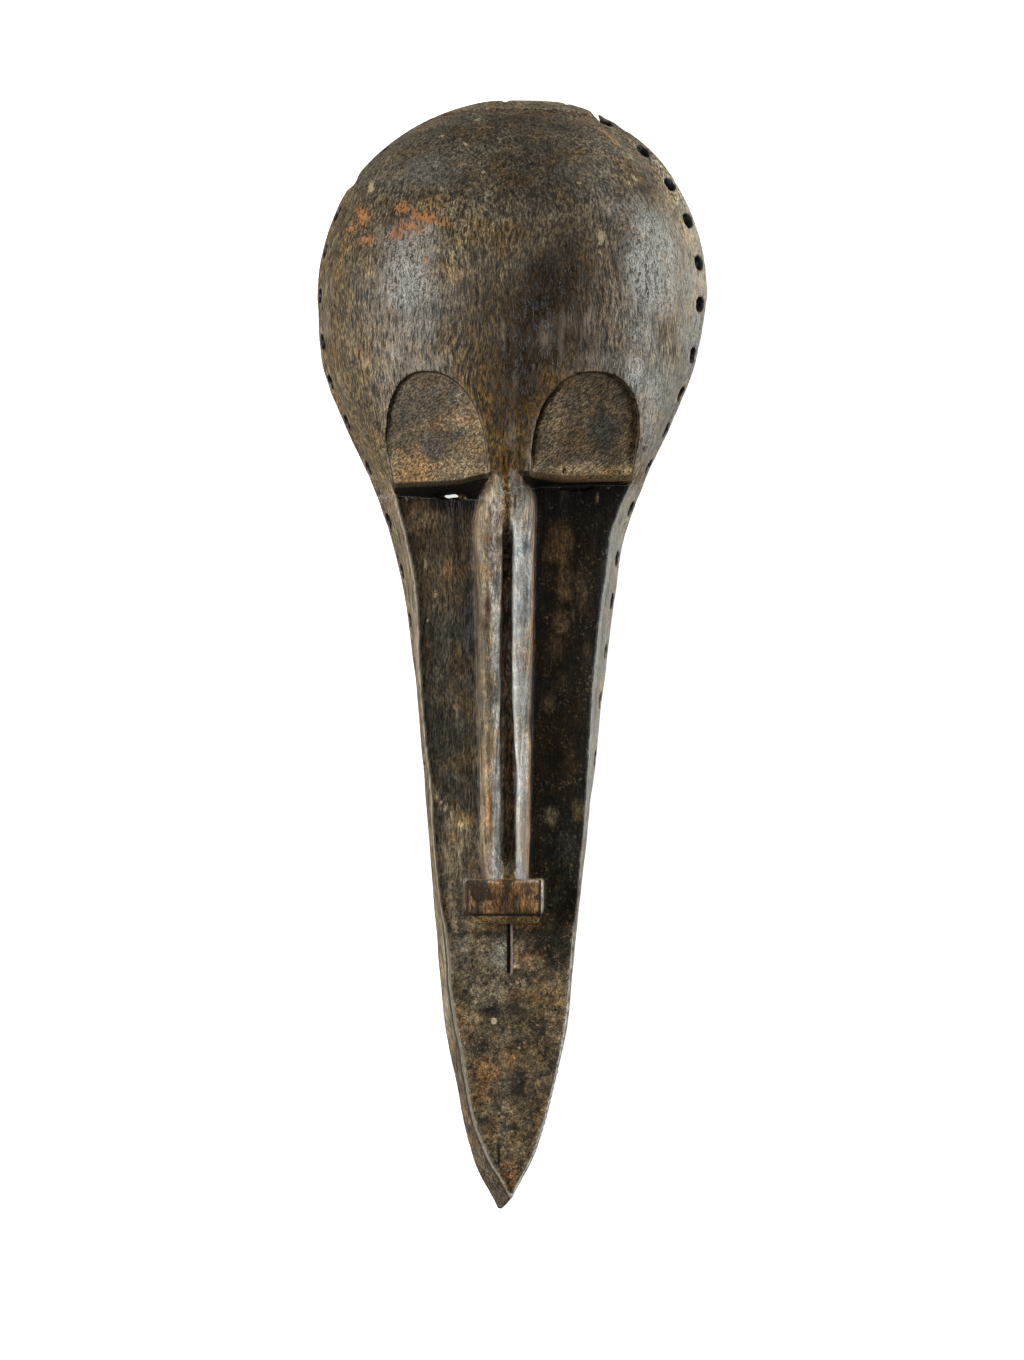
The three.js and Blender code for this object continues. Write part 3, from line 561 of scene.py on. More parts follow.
# ------------------------------------------------------------------ which part of the carving a point lies on
def zones(p, n):
    x, y, z = p.T
    Z = {}
    hollow = sample(HOLLOW, p)
    Z['inner'] = smooth(3.2, 1.6, hollow)
    out = 1 - Z['inner']
    xl, xr, ez = (np.interp(y, EDGE_Y, t) for t in (EDGE_LEFT, EDGE_RIGHT, EDGE_Z))
    edge, foot = brow_edge(x), brow_foot(x)
    pads = np.zeros(len(x))
    for pad in PADS:
        on = smooth(0.5, -0.3, pad_plan(pad, x, y)) * smooth(2.2, 1.2, np.abs(z - pad_height(pad, x, y))) * smooth(-1.5, 0.5, y - edge)
        Z['pad_left' if pad['side'] < 0 else 'pad_right'] = on * out
        pads = np.maximum(pads, on * out)
    Z['pads'] = pads
    face = smooth(1.0, -1.0, y - foot - 0.5) * out
    inside = smooth(0.2, 1.6, x - xl) * smooth(0.2, 1.6, xr - x)
    Z['panel'] = face * inside * smooth(0.6, -0.8, z - ez)
    Z['side'] = smooth(104, 84, y) * out * (1 - smooth(-0.2, 1.0, x - xl) * smooth(-0.2, 1.0, xr - x)) * smooth(1.5, 0.5, z - ez)
    undercut = smooth(0.35, 0.55, n[:, 0]) * smooth(9, 7, xr - x) * smooth(0.5, -0.5, z - ez) * smooth(-95, -110, y) * out
    Z['panel'] = Z['panel'] * (1 - undercut)
    Z['side'] = np.maximum(Z['side'], undercut)
    Z['lip'] = face * (1 - undercut) * np.maximum(smooth(1.7, 0.8, np.abs(x - xl - 0.6)), smooth(1.7, 0.8, np.abs(x - xr + 0.6))) * smooth(2.4, 0.9, np.abs(z - ez))
    rl, rr = [through(RIDGE_LEFT, c)(y) for c in (1, 2, 3, 4)], [through(RIDGE_RIGHT, c)(y) for c in (1, 2, 3, 4)]
    span = smooth(-123.5, -121.5, y) * smooth(101, 97, y) * out
    above = smooth(0.3, 1.8, z - ez)
    Z['ridge_left'] = span * above * smooth(-0.9, 0.1, x - rl[0]) * smooth(0.9, 0.0, x - rl[2])
    Z['ridge_right'] = span * above * smooth(-0.9, 0.1, x - rr[0]) * smooth(0.9, 0.0, x - rr[2])
    Z['groove'] = span * smooth(-0.3, 0.6, x - rl[2]) * smooth(0.3, -0.6, x - rr[0]) * smooth(1.5, 3.5, rl[3] - z)
    m = MOUTH
    Z['block'] = out * smooth(-2.5, -1.0, x - m['left']) * smooth(3.2, 1.5, x - m['right']) * smooth(1.2, 0.2, y - m['top']) * smooth(-1.5, -0.5, y - m['bottom']) * smooth(0.5, 1.5, z - ez + 2)
    Z['under'] = out * smooth(-3.0, -1.0, y - foot) * smooth(-0.9, -2.0, y - edge) * smooth(-4.0, -2.5, z - ez) * smooth(76, 70, np.abs(x))
    Z['under'] = Z['under'] * np.maximum(smooth(-0.35, -0.6, n[:, 1]), smooth(0.5, -0.8, y - foot))
    Z['under'] = Z['under'] * (1 - np.maximum(np.maximum(Z['ridge_left'], Z['ridge_right']), smooth(-6.5, -5.5, x) * smooth(0.0, -1.0, x)))
    brow = out * (y > foot - 2) * (z > ez) * (np.abs(x) < 75) * (1 - np.maximum(Z['ridge_left'], Z['ridge_right']))
    brow = np.where((x > -8.5) & (x < 1.5), 0, brow)
    Z['brow'] = np.where(brow > 0.5, np.clip((y - edge) / 8 + 0.5, 0, 1), 1.0)
    Z['face'] = face
    Z['lip_l'] = np.where(face > 0.5, np.clip((x - xl) / 8 + 0.5, 0, 1), 0.0) * (1 - undercut)
    Z['lip_r'] = np.where(face > 0.5, np.clip((xr - x) / 8 + 0.5, 0, 1), 0.0) * (1 - undercut)
    Z['near_right'] = Z['panel'] * smooth(6.0, 3.0, xr - x)
    Z['pad_line'] = np.where(y > edge - 0.5, np.clip(np.minimum(pad_plan(PADS[0], x, y), pad_plan(PADS[1], x, y)) / 8 + 0.5, 0, 1), 1.0)
    burnt = np.zeros(len(x))
    low = np.nonzero(z < 16)[0]
    for n, side, hx, hy, t, o in hole_axes():
        k = low[(np.abs(x[low] - hx) < 16) & (np.abs(y[low] - hy) < 16)]
        u, v = (x[k] - hx) * t[0] + (y[k] - hy) * t[1], (x[k] - hx) * o[0] + (y[k] - hy) * o[1]
        r = np.hypot(u, z[k] - HOLE_HEIGHT - 0.5 * math.sin(n * 1.7))
        burnt[k] = np.maximum(burnt[k], smooth(HOLE_RADIUS + 1.1, HOLE_RADIUS + 0.3, r) * smooth(-17, -13, v))
    Z['burnt'] = burnt
    return Z


field, HOLLOW = build_field()
points, quads = mesh_from(field)
CURVE_FINE = blurred(field, 2)
CURVE_WIDE = blurred(CURVE_FINE, 5)
triangles = triangles_of(points, quads)
a, b, c = (points[triangles[:, k]] for k in range(3))
if np.einsum('ij,ij->i', a, np.cross(b, c)).sum() < 0:
    triangles = triangles[:, ::-1]
normals = vertex_normals(points, triangles)


# ------------------------------------------------------------------ tool marks, fibres, worn edges
def relief(p, n):
    Z = zones(p, n)
    x, y, z = p.T
    out = 1 - Z['inner']
    soft = 1 - np.maximum(Z['pads'], Z['panel'])
    bent = p + np.stack([noise(p, 40, 5), 0 * x, noise(p, 40, 6)], 1) * 2.5
    r = 0.45 * noise(p, 34, 11) * soft + 0.22 * noise(p, 13, 12)
    # fibres run along the mask's length and show as furrows where the surface runs with them
    along = 1 - np.abs(n[:, 1]) ** 2
    r = r + out * along * (0.10 * noise(bent, (1.9, 12, 1.9), 21) + 0.13 * noise(bent, (3.3, 24, 3.3), 22)) * (1 - 0.6 * Z['pads'])
    r = r - out * along * 0.22 * smooth(0.25, 0.8, noise(bent, (2.4, 17, 2.4), 23)) * (1 - Z['pads']) * (1 - 0.5 * Z['panel'])
    # pads: short slanting cuts of a small blade
    c, s = math.cos(math.radians(52)), math.sin(math.radians(52))
    hatch = np.stack([x * c + y * s, -x * s + y * c, z], 1)
    r = r + Z['pads'] * 0.17 * noise(hatch, (5.5, 1.9, 6), 31)
    # face panel: long chisel strokes, and a scabby surface low down
    low = smooth(-90, -170, y)
    r = r + Z['panel'] * (0.18 * noise(bent, (3.0, 46, 9), 41) * (1 - low) + 0.24 * rough_noise(p, 5.5, 42) * mix(0.35, 1.0, low))
    # inside: broad adze scallops
    r = r + Z['inner'] * (0.75 * np.abs(noise(p, (15, 27, 15), 51)) - 0.5 + 0.2 * noise(p, (3, 14, 3), 52))
    # walls and ridges: knife facets
    r = r + Z['side'] * 0.25 * noise(p, (9, 60, 14), 61) + (Z['ridge_left'] + Z['ridge_right']) * 0.28 * noise(p, (5, 30, 6), 62)
    # worn and nicked edges
    curve = sample(CURVE_FINE, p)
    r = r - smooth(0.3, 0.75, curve) * (0.04 + 0.42 * smooth(0.25, 0.8, rough_noise(p, 4.5, 71, 2))) * (1 - 0.6 * Z['block'])
    r = r * (1 - 0.75 * Z['lip'])
    # gouges: x, y, length, width, depth, slant
    for gx, gy, gl, gw, gd, turn in GOUGES:
        u = (x - gx) * math.cos(turn) + (y - gy) * math.sin(turn)
        v = -(x - gx) * math.sin(turn) + (y - gy) * math.cos(turn)
        r = r - gd * out * smooth(gw, 0, np.abs(u)) * smooth(gl, gl * 0.3, np.abs(v)) * (n[:, 2] > 0.1)
    return r


GOUGES = [(-32.8, -29, 7.5, 1.6, 0.7, 0.45), (-38.0, -78, 10, 1.5, 0.5, -0.75), (-32.0, -66, 16, 1.4, 0.45, 0.18),
          (-22.5, -58, 17, 1.6, 0.5, 0.1), (-25.0, 0, 24, 1.8, 0.5, 0.32), (-31.0, 8, 20, 1.5, 0.35, 0.3),
          (60.4, 249.2, 8.2, 1.0, 0.9, 0.78), (73.6, 205, 9, 1.1, 0.6, 0.22), (78.0, 204, 11, 1.1, 0.6, 0.05),
          (83.4, 202, 11, 1.2, 0.5, 0.08), (61.5, 235, 4.5, 1.2, 0.7, 0.32), (43.6, 240, 3.5, 1.2, 0.6, 0.0),
          (1.6, 80.7, 8, 0.9, 0.9, 0.0), (-7.6, -277, 9.5, 0.9, 0.8, 0.0), (27.7, 99.5, 3, 1.0, 1.2, 0.0),
          (-4.5, 103.5, 5, 1.4, 0.9, 0.05), (-1.8, 104.5, 6, 1.1, 0.8, -0.03), (-7.2, 103, 4, 1.0, 0.7, 0.1)]

points = points + normals * relief(points, normals)[:, None]
points[:, 2] = np.maximum(points[:, 2], 0.0)

mesh = bpy.data.meshes.new("mask_carved")
mesh.from_pydata((points / 1000).tolist(), [], triangles.tolist())
mesh.update()
mask = bpy.data.objects.new("mask_carved", mesh)
bpy.context.scene.collection.objects.link(mask)


def thin_out(ob, target, keep=None):
    """fewer triangles, none taken where keep is 1"""
    mod = ob.modifiers.new("fewer", 'DECIMATE')
    mod.ratio = target / len(ob.data.polygons)
    if keep is not None:
        group = ob.vertex_groups.new(name="keep")
        for i in np.nonzero(keep)[0].tolist():
            group.add([i], 1.0, 'REPLACE')
        mod.vertex_group = "keep"
        mod.vertex_group_factor = 1.0
    deps = bpy.context.evaluated_depsgraph_get()
    new = bpy.data.meshes.new_from_object(ob.evaluated_get(deps))
    old = ob.data
    ob.modifiers.clear()
    ob.vertex_groups.clear()
    ob.data = new
    bpy.data.meshes.remove(old)
    new.name = "mask_carved"


inner = sample(HOLLOW, points) < 2.4
n_inner = int(inner[triangles].any(axis=1).sum())
thin_out(mask, len(triangles) - n_inner + 34000, ~inner)
thin_out(mask, 196000)
mesh = mask.data
mesh.shade_smooth()
print("triangles", len(triangles), n_inner, "->", len(mesh.polygons))


# ------------------------------------------------------------------ colours laid on by place (linear)
count = len(mesh.vertices)
P = np.empty(count * 3)
mesh.vertices.foreach_get("co", P)
P = P.reshape(-1, 3) * 1000
T = np.empty(len(mesh.polygons) * 3, int)
mesh.polygons.foreach_get("vertices", T)
T = T.reshape(-1, 3)
NORMAL = vertex_normals(P, T)
Z = zones(P, NORMAL)
x, y, z = P.T
outer = 1 - Z['inner']

TONE = dict(
    dome=(0.083, 0.064, 0.042), crown=(0.066, 0.057, 0.042), upper_left=(0.086, 0.073, 0.052), upper_right=(0.106, 0.089, 0.065),
    edge_left=(0.088, 0.064, 0.036), edge_right=(0.195, 0.168, 0.126), shade_band=(0.010, 0.006, 0.003), low_middle=(0.046, 0.031, 0.014),
    wedge=(0.094, 0.054, 0.014), pad_left=(0.096, 0.071, 0.043), pad_low=(0.215, 0.152, 0.086), pad_right=(0.094, 0.067, 0.037),
    low_left=(0.108, 0.080, 0.047), low_right=(0.150, 0.130, 0.098), side_left=(0.150, 0.120, 0.080), side_right=(0.235, 0.208, 0.160),
    panel_left=(0.070, 0.049, 0.026), panel_left_mid=(0.060, 0.051, 0.034), panel_left_low=(0.155, 0.125, 0.080),
    panel_right=(0.017, 0.011, 0.005), panel_right_low=(0.019, 0.017, 0.010),
    chin=(0.225, 0.176, 0.104), chin_right=(0.155, 0.112, 0.060), chin_wall=(0.115, 0.088, 0.060),
    lip_highlight_left=(0.240, 0.220, 0.180), lip_highlight_right=(0.340, 0.330, 0.290), groove=(0.210, 0.140, 0.085),
    ridge_tan=(0.185, 0.140, 0.084), ridge_pale_sheen=(0.440, 0.430, 0.390), ridge_orange=(0.260, 0.140, 0.060),
    block=(0.175, 0.095, 0.034), bevel=(0.380, 0.235, 0.095), under=(0.006, 0.0045, 0.003),
    inner=(0.110, 0.076, 0.048))


def lay(tone, color, amount):
    return tone * (1 - amount[:, None]) + np.array(color) * amount[:, None]


wobble = noise(P, 16, 81) + 0.6 * noise(P, 6, 82)
round_the_crown = np.hypot(x / 109.5, (y - 199.4) / 111)
left = smooth(2, -4, x)
tone = np.tile(np.array(TONE['dome']), (count, 1))
# painted sheen: the crown laid on greyer than the dome; the next line lightens the rim along the top as painted light
tone = lay(tone, TONE['crown'], smooth(228, 270, y + 8 * wobble))
tone = lay(tone, (0.110, 0.090, 0.064), smooth(288, 305, y + 3 * wobble) * 0.9)
tone = lay(tone, (0.100, 0.082, 0.058), smooth(12, -12, x + 6 * wobble) * smooth(-60, -40, x) * smooth(150, 165, y) * smooth(262, 240, y) * 0.7)
tone = lay(tone, TONE['upper_left'], smooth(-35, -62, x) * smooth(235, 262, y))
tone = lay(tone, TONE['upper_right'], smooth(22, 50, x + 6 * wobble) * smooth(222, 250, y))
tone = lay(tone, TONE['edge_left'], smooth(-76, -96, x) * smooth(100, 140, y))
tone = lay(tone, TONE['edge_right'], smooth(72, 100, x + 4 * wobble) * smooth(100, 140, y))
tone = lay(tone, TONE['low_left'], smooth(-58, -72, x) * smooth(196, 165, y) * smooth(84, 100, y))
tone = lay(tone, TONE['low_right'], smooth(62, 76, x) * smooth(196, 165, y) * smooth(84, 100, y))
tone = lay(tone, TONE['low_middle'], smooth(52, 26, np.abs(x - 6) + 5 * wobble) * smooth(150, 160, y) * smooth(215, 178, y) * 0.9)
tone = lay(tone, TONE['wedge'], smooth(44, 16, np.abs(x + 1)) * smooth(166, 140, y))
tone = lay(tone, TONE['side_left'], Z['side'] * (x < 0))
tone = lay(tone, TONE['side_right'], Z['side'] * (x >= 0))
tone = lay(tone, (0.235, 0.195, 0.140), Z['side'] * (x < 0) * smooth(-120, -150, y))
tone = lay(tone, TONE['chin_wall'], Z['side'] * (x < 0) * smooth(-195, -225, y))
tone = lay(tone, TONE['pad_left'], Z['pad_left'])
tone = lay(tone, TONE['pad_low'], Z['pad_left'] * smooth(110, 100, y + 0.10 * x + 4 * wobble) * 0.9)
tone = lay(tone, TONE['pad_low'], Z['pad_left'] * smooth(-33, -24, x + 3 * wobble) * smooth(140, 122, y) * 0.7)
tone = lay(tone, TONE['pad_right'], Z['pad_right'])
tone = lay(tone, (0.175, 0.128, 0.076), Z['pad_right'] * smooth(110, 100, y + 3 * wobble) * 0.9)
tone = lay(tone, (0.210, 0.152, 0.088), Z['pad_right'] * smooth(28, 18, x - 0.32 * (y - 115) + 2 * wobble) * smooth(144, 134, y) * 0.75)
tone = lay(tone, (0.290, 0.205, 0.120), Z['pad_right'] * smooth(103, 100, y + 1.5 * wobble) * 0.8)
tone = tone * np.array([1.0, 0.97, 0.86])
tone = tone * (1 - 0.11 * smooth(212, 232, y) * smooth(292, 272, y) * smooth(22, 36, np.abs(x)) * smooth(92, 80, np.abs(x)))[:, None]
tone = lay(tone, TONE['panel_left'], Z['panel'] * left)
tone = lay(tone, TONE['panel_left_mid'], Z['panel'] * left * smooth(40, 15, y + 5 * wobble))
# painted shadow: the panel right of the nose laid on near black here and low down, as the nose and the right border
# shade it
tone = lay(tone, TONE['panel_right'], Z['panel'] * (1 - left))
tone = lay(tone, TONE['panel_left_low'], Z['panel'] * left * smooth(-72, -98, y + 8 * wobble + 0.5 * (x + 30)))
tone = lay(tone, TONE['panel_right_low'], Z['panel'] * (1 - left) * smooth(-60, -110, y))
tone = lay(tone, TONE['chin'], Z['panel'] * smooth(-132, -152, y + 5 * wobble) * left)
tone = lay(tone, TONE['chin_right'], Z['panel'] * smooth(-136, -156, y + 5 * wobble) * (1 - left))
# painted shadow of the right border along the panel's right edge
tone = lay(tone, (0.007, 0.0055, 0.004), Z['near_right'] * smooth(-120, -100, y) * 0.7)
tone = lay(tone, TONE['groove'], Z['groove'])
tone = lay(tone, (0.050, 0.031, 0.015), Z['groove'] * smooth(-20, -55, y) * 0.9)
tone = lay(tone, (0.105, 0.062, 0.026), Z['groove'] * smooth(74, 86, y))
tone = lay(tone, TONE['ridge_tan'], np.maximum(Z['ridge_left'], Z['ridge_right']))
ridge_mid = through(RIDGE_LEFT, 2)(y)
tone = lay(tone, (0.060, 0.045, 0.028), Z['ridge_left'] * smooth(-4.2, -6.6, x - ridge_mid + 0.8 * wobble) * smooth(60, 48, y) * smooth(-50, -25, y) * 0.8)
# the ridges' pale faces: worn wood with a painted sheen
tone = lay(tone, TONE['ridge_pale_sheen'], Z['ridge_left'] * smooth(-1.6, 0.8, x - ridge_mid + 0.8 * wobble) * smooth(98, 80, y) * mix(0.85, 0.6, smooth(66, 50, y) * smooth(-90, -70, y)))
tone = lay(tone, (0.400, 0.290, 0.190), Z['ridge_left'] * smooth(0.5, 2.5, x - ridge_mid) * smooth(40, 50, y) * smooth(84, 74, y) * 0.8)
ridge_mid = through(RIDGE_RIGHT, 2)(y)
tone = lay(tone, TONE['ridge_pale_sheen'], Z['ridge_right'] * smooth(3.2, -0.5, x - ridge_mid + 1.2 * wobble))
tone = lay(tone, TONE['ridge_pale_sheen'], Z['ridge_right'] * 0.55)
# painted shadow of the brow on the right ridge's top
tone = lay(tone, (0.080, 0.050, 0.026), Z['ridge_right'] * smooth(76, 88, y + wobble) * 0.8)
tone = lay(tone, TONE['ridge_orange'], Z['ridge_right'] * smooth(-2.2, -0.8, x - through(RIDGE_RIGHT, 3)(y)) * 0.8)
tone = lay(tone, TONE['block'], Z['block'])
tone = lay(tone, TONE['bevel'], Z['block'] * smooth(-140.5, -142.5, y))
tone = lay(tone, (0.020, 0.012, 0.007), Z['block'] * smooth(2.6, 1.8, MOUTH['right'] - x) * smooth(1.1, 1.6, MOUTH['right'] - x) * 0.8)
# painted highlight on the block's right bevel and, in the next two lines, along its top edge
tone = lay(tone, (0.42, 0.36, 0.31), Z['block'] * smooth(1.5, 1.0, MOUTH['right'] - x) * smooth(-143, -140, y) * smooth(55.5, 57.5, z))
tone = lay(tone, (0.36, 0.27, 0.19), Z['block'] * smooth(-124.4, -123.7, y) * smooth(2.5, 5.0, x) * 0.9)
tone = lay(tone, (0.30, 0.22, 0.15), Z['block'] * smooth(-124.2, -123.4, y) * smooth(-6.0, -9.0, x) * 0.8)
tone = lay(tone, (0.016, 0.010, 0.006), Z['block'] * smooth(1.3, 0.6, np.abs(y + 140.9)) * 0.7)
# painted highlight on the arris of the narrow border
tone = lay(tone, TONE['lip_highlight_left'], Z['lip'] * (x < 0) * 0.85)
tone = lay(tone, TONE['lip_highlight_right'], Z['lip'] * (x >= 0) * 0.85)
# painted shade under the brow's overhang
tone = lay(tone, TONE['under'], Z['under'])
# painted shadow of the brow across the top of the face panel
tone = lay(tone, (0.009, 0.007, 0.0045), Z['panel'] * np.where(x < 0, smooth(72, 82, y + 1.5 * wobble) * smooth(-50, -38, x), smooth(77, 88, y + 1.5 * wobble)))
# painted shade: the rim holes' bores laid on near black
tone = lay(tone, (0.003, 0.003, 0.003), Z['burnt'])
tone = lay(tone, TONE['inner'], Z['inner'])

